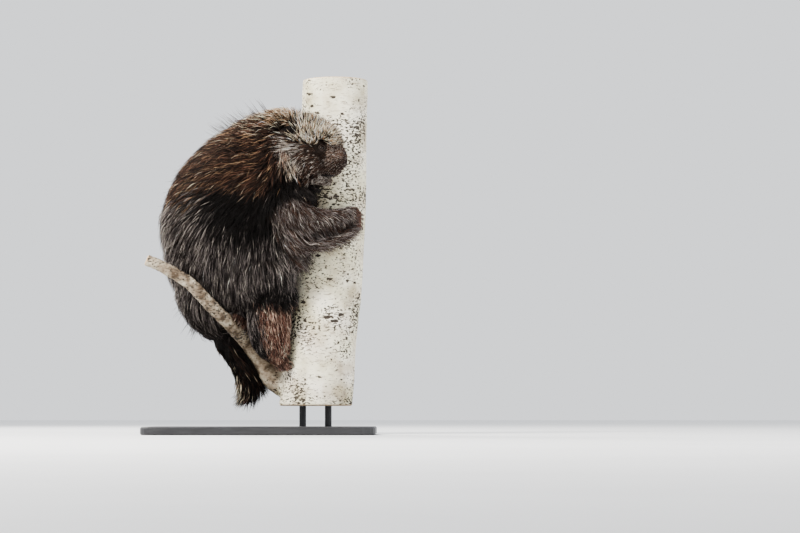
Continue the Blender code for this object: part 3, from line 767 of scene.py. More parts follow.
class Coat:
    """Lie, length along the skin, height of the tip, width and colours of every strand."""

    def __init__(self, forms, p, n, form, share, eyes, mouth):
        count = len(p)
        self.forms, self.p, self.n, self.form, self.share = forms, p, n, form, share
        self.x, self.y, self.z = (p / MM).T
        self.luck, self.chance, self.other = rng.random((3, count))
        self.lie = body_lie(p)
        self.length = np.full(count, 50.0)
        self.height = np.full(count, 24.0)
        self.width = np.full(count, 1.25)
        self.wild = np.full(count, 9.0)
        self.pull = np.full(count, 0.14)
        self.straight = np.zeros(count, bool)
        self.tip = np.tile(BROWN, (count, 1)).astype(float)
        self.body()
        self.tail()
        self.limbs()
        self.hands_and_feet()
        self.head(eyes, mouth)
        self.middle = np.array(DARK) + 0.16 * self.tip
        glow = self.form_is("leg_right") | (self.form_is("head") & (self.x > 128))
        self.middle[glow] = 0.5 * self.tip[glow]
        shade = rng.lognormal(0, np.where(self.crown, 0.42, 0.30)) * (1 + 0.20 * waves(p, 22, 8))
        root = np.tile(DARK, (count, 1))
        colours = np.stack([root, self.middle, self.tip], 1) * shade[:, None, None]
        self.colours = np.clip(colours, 0, 0.85)
        self.length *= rng.uniform(0.74, 1.12, count)
        self.height *= rng.uniform(0.66, 1.12, count)
        self.width *= rng.uniform(0.8, 1.2, count)

    def form_is(self, name):
        return self.form == self.forms.names.index(name)

    def body(self):
        """Mantle, flanks, rump, belly and throat."""
        on = self.form_is("torso")
        x, y, z, n, luck = self.x, self.y, self.z, self.n, self.luck
        mantle = step(z - 30 * step(x, 5, 55) + 22 * waves(self.p, 45, 3), 448, 510)
        back = np.clip(-n[:, 0], 0, 1)
        front = np.clip(n[:, 0], 0, 1)
        neck = step(x, 25, 60) * step(z, 616, 594)
        hackles = between(x, -30, 0, 90, 99) * step(z, 590, 606)
        length = 50 - 4 * mantle - 8 * neck
        height = 24 + (12 + 8 * (1 - mantle)) * np.maximum(back, mantle * 0.6) * (1 - neck) - 6 * neck
        length = length - 14 * front * (1 - mantle)
        height = height - 6 * front * (1 - mantle) + 10 * hackles
        skirt = (y < 4) & (x > -92) & (z < 400)
        hem = np.interp(x, (-92, -60, 60), (236, 256, 258))
        length = np.where(skirt, np.clip(np.minimum(58, (z - hem) * 1.05), 12, None), length)
        height = np.where(skirt, np.minimum(20, 6 + length * 0.3) + (13 + 8 * between(z, 262, 280, 330, 350)) * front, height)
        throat = step(x, 52, 76) * between(z, 440, 462, 520, 545) * step(n[:, 0], -0.1, 0.4)
        length = length + 14 * throat
        height = height + 30 * throat
        deep = np.array(BROWN) * 0.65
        above = picked(luck, (0.02, CREAM), (0.08, np.array(TAN) * 0.85), (0.21, RUST), (0.69, deep))
        below = picked(luck, (0.10, PALE), (0.34, GREY), (0.56, np.array(DARK) * 1.7))
        tip = np.where((mantle > self.chance)[:, None], above, below)
        straw = step(x, -60, 40) * step(z, 585, 625) * 0.30
        tip[straw > self.other] = CREAM
        cheek = between(x, 40, 60, 96, 120) * between(z, 514, 534, 560, 580)
        tip[cheek * 0.88 > self.other] = np.array(PALE) * (1.36, 1.24, 1.12)
        length = length - 14 * cheek
        # Pale tips on the back-facing hair low on the rump: a painted rim of backlight.
        edge = step(back, 0.75, 0.98) * (1 - mantle) * step(z, 230, 300)
        tip[edge * 0.16 > self.other] = PALE
        drift = 16 * waves(self.p, 55, 6) + 12 * waves(self.p, 20, 16)
        shadow = between(z + drift, 408, 440, 472, 500) * step(x, -140, -50)
        shadow = np.maximum(shadow, between(z, 440, 452, 516, 536) * between(x, 16, 40, 90, 104))
        tip[shadow * 0.98 > self.other] = np.array(DARK) * 0.7
        # Throat hair, made longer and taller so it reaches the trunk, gets dark tips: painted shade in the gap
        # between neck and trunk.
        tip[throat * 0.9 > self.other] = np.array(DARK) * 1.3
        # Dark tips on the torso hair below the perch's side limb: painted shade cast by the limb.
        shade_under_limb = step(z + 0.86 * x, 180, 140) * step(x, -30, -60) * step(z, 345, 315)
        tip[shade_under_limb * 0.72 > self.other] = np.array(DARK) * 1.5
        self.length[on] = length[on]
        self.height[on] = height[on]
        self.wild[on] = (10 + 8 * mantle)[on]
        self.width[on] = (1.1 + 0.15 * (tip.sum(1) > 0.5))[on]
        self.tip[on] = tip[on]
        sparse = on & (z > 560) & (x > -64) & (x < 60) & (n[:, 2] > 0.3) & (self.chance > 0.92)
        sparse |= on & (x < -110) & (z > 230) & (self.chance > 0.96)
        self.length[sparse] = 36
        self.height[sparse] = np.where(x < -100, 46, 64)[sparse]
        self.width[sparse] = 0.85
        self.tip[sparse] = np.array(BROWN) * 0.8
        self.wild[sparse] = 26
        self.straight |= sparse
        self.sparse = sparse

    def tail(self):
        """Black bristles, with cream quills at the back edge."""
        on = self.form_is("tail")
        low = self.share[on]
        back = np.array((-0.55, 0, 0))
        self.lie[on] = along_form(self.forms, "tail", low) + step(low, 0.45, 0.75)[:, None] * back
        self.length[on] = np.interp(low, (0, 0.7, 1), (46, 44, 42))
        self.height[on] = np.interp(low, (0, 0.7, 1), (18, 24, 20))
        self.tip[on] = picked(self.luck[on], (0.12, np.array(RUST) * 0.5), (0.88, DARK))
        self.wild[on] = 15
        outer = np.clip(-self.n[:, 0], 0, 1)
        self.height[on] -= (12 * outer * step(self.share, 0.70, 0.45))[on]
        self.height[on] += (8 * outer * step(self.share, 0.55, 0.75))[on]
        quill = on & (0.02 + 0.42 * outer * step(self.share, 0.45, 0.7) > self.other)
        self.tip[quill] = CREAM
        self.width[quill] = 1.5
        self.height[quill] += 6
        self.straight |= quill | (on & (self.share > 0.6))

    def limbs(self):
        """Arms and lower legs."""
        for name in ("arm_right", "arm_left"):
            on = self.form_is(name)
            low = self.share[on]
            self.lie[on] = unit(np.array((0.30, 0, -1)) + 0.5 * along_form(self.forms, name, low))
            under = step(-self.n[on, 2], 0.1, 0.8)
            self.length[on] = np.interp(low, (0, 0.5, 1), (42, 34, 28)) + 14 * under
            self.height[on] = np.interp(low, (0, 0.5, 1), (18, 12, 8)) + 24 * under
            self.tip[on] = picked(
                self.luck[on], (0.09, PALE), (0.35, GREY), (0.16, np.array(RUST) * 0.5), (0.40, BROWN)
            )
            self.wild[on] = 14
        for name in ("leg_right", "leg_left"):
            on = self.form_is(name)
            low, x, z = self.share[on], self.x[on], self.z[on]
            high = step(z, 274, 290)
            front = np.clip(self.n[on, 0], 0, 1)
            self.lie[on] = np.array((0.20, 0, -1))
            self.length[on] = np.interp(low, (0, 0.6, 1), (36, 30, 20))
            self.height[on] = np.interp(low, (0, 0.6, 1), (13, 11, 8)) + (8 + 13 * step(z, 264, 282)) * front
            red = step(x + 0.15 * (z - 200), -6, 16) * (1 - high)
            if name == "leg_left":
                red = red * 0.25
            warm = picked(
                self.luck[on], (0.28, np.array(FLECK) * 1.75), (0.38, REDDISH), (0.34, np.array(REDDISH) * 0.22)
            )
            cold = picked(self.luck[on], (0.03, PALE), (0.30, GREY), (0.67, DARK))
            self.tip[on] = np.where((red > self.chance[on])[:, None], warm, cold)
            # Leg hair tips just below the skirt's hem painted dark: a painted shadow line under the overhanging
            # hem.
            hem = on & (between(self.z, 264, 270, 300, 310) * 0.8 > self.other)
            self.tip[hem] = DARK
            self.wild[on] = 12

    def hands_and_feet(self):
        for name in ("paw_right", "paw_left", "foot_right", "foot_left"):
            on = self.form_is(name)
            low = self.share[on]
            under = step(-self.n[on, 2], 0.1, 0.8)
            self.lie[on] = along_form(self.forms, name, low) + np.array((0, 0, -0.35))
            self.length[on] = np.interp(low, (0, 0.5, 1), (13, 9, 4.5))
            self.height[on] = np.interp(low, (0, 0.5, 1), (4.5, 3.2, 1.2)) + 6 * under * (1 - low)
            if name == "paw_right":
                self.lie[on] = unit(np.array((0.30, 0, -1)) + 0.5 * along_form(self.forms, name, low))
                self.length[on] = np.interp(low, (0, 0.5, 1), (26, 18, 5)) + 16 * under * (1 - low)
                self.height[on] = np.interp(low, (0, 0.5, 1), (8, 6, 1.2)) + 14 * under * (1 - low)
            self.width[on] = 0.75
            self.tip[on] = picked(
                self.luck[on], (0.30, (0.30, 0.185, 0.145)), (0.40, (0.15, 0.075, 0.056)), (0.30, BROWN)
            )
            self.wild[on] = 14
            sleeve = on & name.startswith("paw") & (step(self.share, 0.65, 0.25) > self.chance)
            self.tip[sleeve] = picked(self.luck[sleeve], (0.14, PALE), (0.40, GREY), (0.46, BROWN))
            self.width[sleeve] = 1.0
            if name == "foot_left":
                self.length[on] += 8
                self.height[on] += 3
            if name == "foot_right":
                self.length[on] += 5 * under
                self.height[on] += 12 * under

    def head(self, eyes, mouth):
        """Quills over the crown, a pale cheek, a dark grizzled face, short fur on the muzzle."""
        on = self.form_is("head")
        x, y, z, n, luck = self.x, self.y, self.z, self.n, self.luck
        ragged = z + 7 * waves(self.p, 14, 9)
        away = unit(self.p - np.array(NOSE))
        self.lie[on] = (away + np.stack([0 * x, 0 * x, np.interp(z, (520, 590), (-0.9, -0.2))], -1))[on]
        self.length[on] = np.interp(x, (50, 80, 105, 125, 150, 168), (40, 36, 26, 18, 10, 5))[on]
        self.height[on] = np.interp(x, (50, 80, 105, 125, 150, 168), (16, 14, 8, 4.5, 2.2, 1.0))[on]
        self.width[on] = np.interp(x, (80, 120, 150), (1.1, 0.8, 0.55))[on]
        self.pull[on] = 0.15
        self.wild[on] = 10
        face = picked(luck, (0.10, PALE), (0.20, np.array(RUST) * 0.6), (0.70, np.array(BROWN) * 0.9))
        lit = picked(luck, (0.22, PALE), (0.12, FLECK), (0.20, RUST), (0.46, np.array(BROWN) * 0.9))
        dark = np.array(BROWN) * 0.75
        on_bridge = step(x, 128, 146) * step(z, 540, 556)
        tip = np.where((on_bridge > self.chance)[:, None], lit, face)
        tip = np.where((between(x, 104, 116, 134, 142) * step(z, 546, 556) > self.chance)[:, None], dark, tip)
        side = step(x, 97, 75) * step(z, 500, 520) * (1 - 0.75 * step(z, 560, 584) * step(x, 92, 74))
        cheek = picked(luck, (0.80, np.array(PALE) * 1.22), (0.08, GREY), (0.12, BROWN))
        tip = np.where((side > self.chance)[:, None], cheek, tip)
        chin = step(z, 514, 508) * step(x, 104, 112) * 0.45
        tip = np.where((chin > self.chance)[:, None], np.array(PALE) * 0.8, tip)
        self.tip[on] = tip[on]

        nape = on & (x < 72) & (z > 598)
        self.lie[nape] = (-1, 0, 0)
        self.length[nape] = 34
        self.height[nape] = 40
        self.wild[nape] = 22
        self.tip[nape] = picked(luck[nape], (0.24, CREAM), (0.30, TAN), (0.46, BROWN))

        to_eye = np.full(len(x), 99.0)
        for middle, _ in eyes.values():
            to_eye = np.minimum(to_eye, np.linalg.norm(self.p - np.array(middle), axis=1) / MM)
        self.length[on] = np.minimum(self.length, np.interp(to_eye, (8, 16, 30, 44), (3.5, 9, 24, 60)))[on]
        self.height[on] = np.minimum(self.height, np.interp(to_eye, (8, 16, 24, 44), (1.2, 3, 8, 60)))[on]
        front = np.flatnonzero(on & (x > 112) & (z < 545))
        gap = nearest_gap(self.p[front], mouth)
        below = self.p[front, 2] < mouth[:, 2].max()
        lip = front[below & (gap > 3.0) & (gap < 8) & (luck[front] < 0.6)]
        self.tip[lip] = PALE
        # Hair along the mouth line painted dark: painted shade in the mouth's crease.
        self.tip[front[gap < 3.2]] = np.array(DARK) * 0.8
        self.length[front] = np.minimum(self.length[front], 1.5 + 0.8 * gap)
        self.height[front] = np.minimum(self.height[front], 0.5 + 0.22 * gap)
        beard = on & (x > 104) & (z < 512)
        self.lie[beard] = (-1, 0, -0.25)
        self.length[beard] = 9
        self.height[beard] = 2.6
        jaw = on & (x < 104) & (z < 548) & (x > 40)
        self.lie[jaw] = (-0.55, 0, -0.9)
        self.height[jaw] = 9
        self.length[jaw] = 28
        self.straight |= jaw

        crown = on & (step(ragged, 572, 584) * step(x, 66, 76) * step(x, 163, 157) > self.chance)
        crown &= to_eye > 14
        lean = np.interp(x, (60, 85, 110, 150), (-1.0, -0.45, 0.25, 0.9))
        spread = unit(n) * (0, 0.45, 0)
        self.lie[crown] = (np.stack([lean, 0 * x, 0 * x + 0.75], -1) + spread)[crown]
        self.length[crown] = np.interp(x, (70, 110, 150), (20, 15, 12))[crown]
        tall = np.interp(x, (60, 90, 118, 140, 156, 163), (35, 38, 39, 33, 22, 10))
        low = np.interp(z - 0.25 * np.abs(y - HEAD_Y), (566, 600), (0.40, 1.0))
        self.height[crown] = (tall * low)[crown]
        self.width[crown] = 1.05
        self.wild[crown] = 38
        self.pull[crown] = 0.30
        self.straight |= crown
        self.tip[crown] = picked(
            luck[crown], (0.29, np.array(CREAM) * 1.08), (0.15, TAN), (0.56, np.array(DARK) * 1.3)
        )
        brow = crown & (x > 118) & (z > 596) & (self.other < 0.6)
        self.tip[brow] = picked(luck[brow], (0.14, CREAM), (0.34, TAN), (0.52, np.array(BROWN) * 0.6))
        fringe = crown & (z < 600) & (self.other > 0.66)
        self.tip[fringe] = CREAM
        self.crown = crown

        at_ear = (on | self.form_is("torso")) & (np.abs(y - HEAD_Y) > 20)
        at_ear &= step(np.hypot(x - 60, (z - 603) * 1.25), 15, 9) > self.chance
        self.tip[at_ear] = DARK
        self.length[at_ear] = 14
        self.height[at_ear] = 6


def hold_in(paths, slack):
    """Keeps strands inside the outline that the side view shows."""
    places = np.array(OUTLINE, float) - OUTLINE_CENTRE
    turns = np.degrees(np.arctan2(places[:, 1], places[:, 0])) % 360
    offset = paths[..., (0, 2)] / MM - OUTLINE_CENTRE
    reach = np.linalg.norm(offset, axis=-1)
    around = np.degrees(np.arctan2(offset[..., 1], offset[..., 0])) % 360
    most = np.interp(around, turns, np.linalg.norm(places, axis=1), 999, 999) * slack[:, None]
    held = OUTLINE_CENTRE + offset * np.minimum(1, most / reach)[..., None]
    paths[..., 0] = held[..., 0] * MM
    paths[..., 2] = held[..., 1] * MM
    return paths


def walk(tree, p, n, lie, length, wild):
    """Four places down each strand's way over the skin, with the skin's normals there."""
    count = len(p)
    sway = np.radians(rng.normal(0, 1, count) * wild)
    way = unit(lie - (lie * n).sum(1)[:, None] * n)
    side = np.cross(n, way)
    way = way * np.cos(sway)[:, None] + side * np.sin(sway)[:, None]
    places, upward = [p], [n]
    follows = np.ones(count, bool)
    for _ in range(3):
        ahead = places[-1] + way * (length / 3 * MM)[:, None]
        spot, normal = ahead.copy(), upward[-1].copy()
        for i in np.flatnonzero(follows):
            found, facing, _, _ = tree.find_nearest(Vector(ahead[i]))
            if facing.dot(Vector(normal[i])) > 0.72:
                spot[i] = found
                normal[i] = facing
            else:
                follows[i] = False
        normal = unit(upward[-1] + normal)
        way = unit(way - (way * normal).sum(1)[:, None] * normal)
        places.append(spot)
        upward.append(normal)
    return np.stack(places, 1), np.stack(upward, 1)


def clump(paths, roots, pull):
    """Draws the outer parts of strands towards those of a nearby one, as locks form."""
    count = len(roots)
    leaders = rng.choice(count, int(count * LOCK_LEADERS), replace=False)
    tree = KDTree(len(leaders))
    for i, leader in enumerate(leaders):
        tree.insert(Vector(roots[leader]), i)
    tree.balance()
    owner = np.array([leaders[tree.find(Vector(root))[1]] for root in roots])
    drawn = paths.copy()
    for k, amount in ((1, 0.25), (2, 0.6), (3, 1.0)):
        offset = roots - roots[owner]
        goal = paths[owner, k] + offset * 0.35
        drawn[:, k] += (goal - paths[:, k]) * (pull * amount)[:, None]
    return drawn


def strand_mesh(name, paths, upward, width, colours, uvs, short):
    """One mesh of thin, closed, three-sided strands that taper to a point."""
    kept = (0, 2, 3) if short else (0, 1, 2, 3)
    shares = np.array(kept) / 3
    rings = len(kept) - 1
    swell = np.array((0.75, 1.0, 0.72, 0.0))[list(kept)]
    spots = paths[:, kept]
    ahead = unit(np.gradient(spots, axis=1))
    across = unit(np.cross(upward[:, kept], ahead))
    up = np.cross(ahead, across)
    count = len(spots)
    verts = np.empty((count, rings * 3 + 1, 3))
    tints = np.empty((count, rings * 3 + 1, 3))
    for ring in range(rings):
        half = (width * swell[ring] / 2 * MM)[:, None]
        for k in range(3):
            turn = math.pi / 2 + 2 * math.pi * k / 3
            offset = across[:, ring] * math.cos(turn) + up[:, ring] * math.sin(turn)
            verts[:, ring * 3 + k] = spots[:, ring] + offset * half
    verts[:, -1] = spots[:, -1]
    for ring, s in enumerate(shares):
        level = np.interp(s, (0, 0.33, 0.66), (0, 1, 2))
        low, f = int(level), level - int(level)
        colour = colours[:, low] * (1 - f) + colours[:, min(low + 1, 2)] * f
        if ring < rings:
            tints[:, ring * 3 : ring * 3 + 3] = colour[:, None]
        else:
            tints[:, -1] = colour

    tris = [((0, 0), (0, 2), (0, 1))]
    for ring in range(rings - 1):
        for k in range(3):
            tris.append(((ring, k), (ring, k + 1), (ring + 1, k + 1)))
            tris.append(((ring, k), (ring + 1, k + 1), (ring + 1, k)))
    for k in range(3):
        tris.append(((rings - 1, k), (rings - 1, k + 1), (rings, k)))
    index = np.array([[ring * 3 + (k % 3 if ring < rings else 0) for ring, k in tri] for tri in tris])
    patch = np.array([[(k / 3 - 0.5, shares[ring] - 0.5) for ring, k in tri] for tri in tris])
    faces = (index[None] + (np.arange(count) * (rings * 3 + 1))[:, None, None]).reshape(-1, 3)
    spread = (uvs[:, None, None] + patch[None] * 0.0030).reshape(-1, 2)

    mesh = bpy.data.meshes.new(name)
    mesh.vertices.add(verts.shape[0] * verts.shape[1])
    mesh.vertices.foreach_set("co", verts.ravel())
    mesh.loops.add(faces.size)
    mesh.loops.foreach_set("vertex_index", faces.ravel())
    mesh.polygons.add(len(faces))
    mesh.polygons.foreach_set("loop_start", np.arange(0, faces.size, 3))
    mesh.polygons.foreach_set("use_smooth", np.ones(len(faces), bool))
    mesh.update(calc_edges=True)
    layer = mesh.uv_layers.new(name="OFBake")
    layer.uv.foreach_set("vector", spread.ravel())
    paint(mesh, "tint", tints.reshape(-1, 3))
    obj = bpy.data.objects.new(name, mesh)
    bpy.context.scene.collection.objects.link(obj)
    return obj


def spread_out(values):
    """Values turned into even steps between 0 and 1, in their own order."""
    order = np.argsort(values, kind="stable")
    even = np.empty(len(values))
    even[order] = (np.arange(len(values)) + 0.5) / len(values)
    return even


def make_coat(skin, eyes, mouth, material):
    forms = Forms()
    p, n, form, share, turn = spread_strands(skin, forms, eyes, mouth)
    coat = Coat(forms, p, n, form, share, eyes, mouth)
    tree = tree_of(coords(skin.data), [f.vertices for f in skin.data.polygons])
    places, upward = walk(tree, p, n, coat.lie, coat.length, coat.wild)
    lift = np.array((0, 0.5, 0.85, 1.0))
    paths = places + upward * (coat.height[:, None] * lift * MM)[..., None]
    aim = unit(places[:, 1] - p) * coat.length[:, None] + n * coat.height[:, None]
    even = np.linspace(0, 1, 4)[None, :, None] * MM
    straight = p[:, None] + aim[:, None] * even
    paths[coat.straight] = straight[coat.straight]
    paths[:, 0] -= n * 1.2 * MM
    sag = np.clip(coat.height - 20, 0, None)[:, None] * np.array((0, 0, 0.05, 0.16)) * MM
    paths[..., 2] -= sag * ~coat.straight[:, None]
    paths = clump(paths, p, coat.pull)
    held = (coat.form_is("torso") | coat.form_is("head")) & ~coat.sparse
    slack = rng.normal(0.985, 0.020, len(p))
    paths[held] = hold_in(paths[held], slack[held])
    for _ in range(2):
        push = clear_of_perch(paths[:, 1:].reshape(-1, 3)).reshape(-1, 3, 3) - paths[:, 1:]
        push[:, 1] += 0.5 * (push[:, 2] - push[:, 1])
        push[:, 0] += 0.35 * (push[:, 1] - push[:, 0])
        paths[:, 1:] += push
    paths[:, 1:] = clear_of_perch(paths[:, 1:].reshape(-1, 3)).reshape(-1, 3, 3)

    side = (np.abs(p[:, 1] / MM - HEAD_Y) > 22) & (coat.form_is("torso") | coat.form_is("head"))
    for k in (2, 3):
        spot = paths[:, k] / MM - EAR_HOLLOW
        hollow = side & (np.hypot(spot[:, 0] / 12, spot[:, 2] / 8) < coat.chance * 0.9 + 0.35)
        coat.colours[hollow] = DARK
    made = []
    for name in forms.names:
        of_form = form == forms.names.index(name)
        groups = {"coat_" + name: (of_form, False)}
        if name == "head":
            short = ~coat.crown & (coat.length < 15)
            groups = {
                "coat_crown": (of_form & ~short, False),
                "coat_face": (of_form & short, True),
            }
        elif name.startswith(("paw", "foot")):
            groups = {"coat_" + name: (of_form, True)}
        for label, (mask, short) in groups.items():
            chosen = np.flatnonzero(mask)
            chosen = chosen[np.argsort(turn[chosen], kind="stable")]
            limit = MOST_STRANDS * (3 if short else 2) // 2
            parts = np.array_split(chosen, max(1, math.ceil(len(chosen) / limit)))
            for i, part in enumerate(parts):
                if len(part) == 0:
                    continue
                place = np.stack([spread_out(share[part] + p[part, 0]), spread_out(turn[part])], -1)
                title = label if len(parts) == 1 else f"{label}_{i + 1}"
                obj = strand_mesh(
                    title,
                    paths[part],
                    upward[part],
                    coat.width[part],
                    coat.colours[part],
                    0.01 + 0.98 * place,
                    short,
                )
                obj.data.materials.append(material)
                made.append(obj)
    return made


# Perch


def make_perch():
    shell = Shell()
    rows = spline(TRUNK_AXIS, 120) * MM
    rings = []
    for x, y, z, radius in rows:
        turns = np.linspace(0, 2 * math.pi, 96, endpoint=False)
        reach = radius * (1 + 0.012 * np.sin(2 * turns + 9 * z) * math.sin(23 * z))
        rings.append(np.stack([x + reach * np.cos(turns), y + reach * np.sin(turns), 0 * turns + z], -1))
    shell.rings(rings)
    limb = [(x, y, z, r, r, 0) for x, y, z, r in LIMB_PATH]
    shell.loft(limb, 60, 36, round_ends=False)
    perch = shell.build("perch")
    melt(perch, 2.6, 4)

    mesh = perch.data
    p, n = coords(mesh), normals(mesh)
    x, y, radius = trunk_at(p[:, 2])
    around = np.arctan2(p[:, 0] - x, y - p[:, 1])
    from_axis = np.hypot(p[:, 0] - x, p[:, 1] - y)
    on_bark = step(np.abs(from_axis - radius), 9 * MM, 4 * MM)
    made = np.random.default_rng(4)
    scar = np.zeros(len(p))
    rise = 0.5 * waves(p, 26, 11) + 0.25 * waves(p, 9, 12)
    spots = [(made.uniform(-3.1, 3.1), made.uniform(0.07, 0.71), made.uniform(0.4, 1.1)) for _ in range(60)]
    spots += [(0.55, 0.622, 0.7), (0.1, 0.236, 1.2), (0.35, 0.228, 1.1), (-0.3, 0.36, 0.8), (0.65, 0.31, 0.9)]
    ragged = 0.35 * waves(p, 6, 14)
    for turn, height, size in spots:
        swing = np.angle(np.exp(1j * (around - turn))) * radius / MM
        lift = (p[:, 2] - height) / MM + 0.12 * swing * math.sin(9 * turn)
        oval = np.hypot(swing / (7.0 * size), lift / (3.0 * size)) + ragged
        scar = np.maximum(scar, on_bark * np.exp(-(np.clip(oval, 0, None) ** 4)))
        rise += on_bark * (1.2 * np.exp(-((oval - 1.3) ** 2) * 5) - 1.2 * np.exp(-(oval**2) * 2)) * size
    at_fork = (p[:, 2] < 150 * MM) & (p[:, 0] < 70 * MM) & (from_axis > radius)
    folds = np.sin(np.hypot(p[:, 0] - 0.055, p[:, 2] - 0.105) / MM * 0.75)
    rise += 0.5 * folds * at_fork * step(p[:, 2], 150 * MM, 120 * MM)
    ends = (p[:, 2] > 722 * MM) | (p[:, 2] < 60 * MM)
    tip = np.array(LIMB_PATH[-1][:3]) * MM
    along = unit(tip - np.array(LIMB_PATH[-2][:3]) * MM)
    limb_end = ((p - tip) @ along > -1.6 * MM) & (np.linalg.norm(p - tip, axis=1) < 16 * MM)
    cut = (ends | limb_end).astype(float)
    off_trunk = step(from_axis - radius, 20 * MM, 50 * MM)
    rise += off_trunk * (1.2 * waves(p, 13, 21) + 0.8 * waves(p, 5, 22))
    rise = np.where(cut > 0, 0, rise)
    mesh.vertices.foreach_set("co", (p + n * (rise * MM)[:, None] * 0.8).ravel())
    mesh.update()
    ring = np.where(limb_end, np.linalg.norm(p - tip, axis=1), from_axis) * 5
    green = 0.5 + 0.5 * waves(p, 60, 13)
    limb_part = step(from_axis - radius, 2 * MM, 14 * MM)
    paint(mesh, "marks", np.stack([np.clip(scar, 0, 1), cut, limb_part], -1))
    paint(mesh, "place", np.stack([ring, green, 0 * ring], -1))
    return perch


# Materials


class Nodes:
    """Short ways to build a node material."""

    def __init__(self, name, **sockets):
        self.material = bpy.data.materials.new(name)
        self.material.use_nodes = True
        self.tree = self.material.node_tree
        self.shader = self.tree.nodes["Principled BSDF"]
        for socket, value in sockets.items():
            self.shader.inputs[socket.replace("_", " ")].default_value = value
        self.object_space = self.add("ShaderNodeTexCoord").outputs["Object"]

    def add(self, kind, **options):
        node = self.tree.nodes.new(kind)
        for key, value in options.items():
            setattr(node, key, value)
        return node

    def link(self, output, target):
        self.tree.links.new(output, target)

    def attribute(self, name, channel=None):
        out = self.add("ShaderNodeAttribute", attribute_name=name).outputs["Color"]
        if channel is None:
            return out
        split = self.add("ShaderNodeSeparateColor")
        self.link(out, split.inputs["Color"])
        return split.outputs[channel]

    def stretched(self, scale):
        node = self.add("ShaderNodeMapping")
        node.inputs["Scale"].default_value = scale
        self.link(self.object_space, node.inputs["Vector"])
        return node.outputs["Vector"]

    def noise(self, scale, detail=3.0, vector=None, roughness=0.55):
        node = self.add("ShaderNodeTexNoise")
        node.inputs["Scale"].default_value = scale
        node.inputs["Detail"].default_value = detail
        node.inputs["Roughness"].default_value = roughness
        self.link(vector or self.object_space, node.inputs["Vector"])
        return node.outputs["Fac"]

    def ramp(self, value, stops):
        node = self.add("ShaderNodeValToRGB")
        while len(node.color_ramp.elements) < len(stops):
            node.color_ramp.elements.new(0.5)
        for element, (place, colour) in zip(node.color_ramp.elements, stops):
            element.position = place
            element.color = (*colour, 1) if isinstance(colour, tuple) else (colour,) * 3 + (1,)
        self.link(value, node.inputs["Fac"])
        return node.outputs["Color"]

    def mix(self, factor, first, second, blend="MIX"):
        node = self.add("ShaderNodeMix", data_type="RGBA", blend_type=blend)
        for socket, value in ((node.inputs["Factor"], factor), (node.inputs[6], first), (node.inputs[7], second)):
            if hasattr(value, "links"):
                self.link(value, socket)
            elif isinstance(value, tuple):
                socket.default_value = (*value, 1)
            else:
                socket.default_value = value
        return node.outputs[2]

    def finish(self, colour, height=None, depth=0.001, strength=0.5, rough=None):
        self.link(colour, self.shader.inputs["Base Color"])
        if rough is not None:
            self.link(rough, self.shader.inputs["Roughness"])
        if height is not None:
            bump = self.add("ShaderNodeBump")
            bump.inputs["Strength"].default_value = strength
            bump.inputs["Distance"].default_value = depth
            self.link(height, bump.inputs["Height"])
            self.link(bump.outputs["Normal"], self.shader.inputs["Normal"])
        return self.material


def hair_material():
    m = Nodes("hair", Roughness=0.5, Specular_IOR_Level=0.3)
    grain = m.ramp(m.noise(420, 2), [(0.3, 0.78), (0.7, 1.0)])
    return m.finish(m.mix(1.0, m.attribute("tint"), grain, "MULTIPLY"))


def skin_material():
    m = Nodes("skin", Roughness=0.62, Specular_IOR_Level=0.35)
    mottle = m.ramp(m.noise(160, 4), [(0.3, 0.7), (0.7, 1.0)])
    pores = m.noise(1500, 3)
    colour = m.mix(1.0, m.attribute("tone"), mottle, "MULTIPLY")
    return m.finish(colour, pores, 0.0006, 0.6)


def claw_material():
    m = Nodes("claw", Roughness=0.34, Specular_IOR_Level=0.5)
    streaks = m.noise(60, 4, m.stretched((9, 9, 2)))
    colour = m.ramp(streaks, [(0.3, (0.045, 0.032, 0.025)), (0.55, (0.12, 0.085, 0.06)), (0.8, (0.26, 0.19, 0.13))])
    return m.finish(colour, streaks, 0.0004, 0.3)


def eye_material():
    m = Nodes("eye", Roughness=0.08, Specular_IOR_Level=0.28)
    colour = m.ramp(m.noise(300, 2), [(0.35, (0.006, 0.004, 0.003)), (0.75, (0.022, 0.012, 0.008))])
    return m.finish(colour)


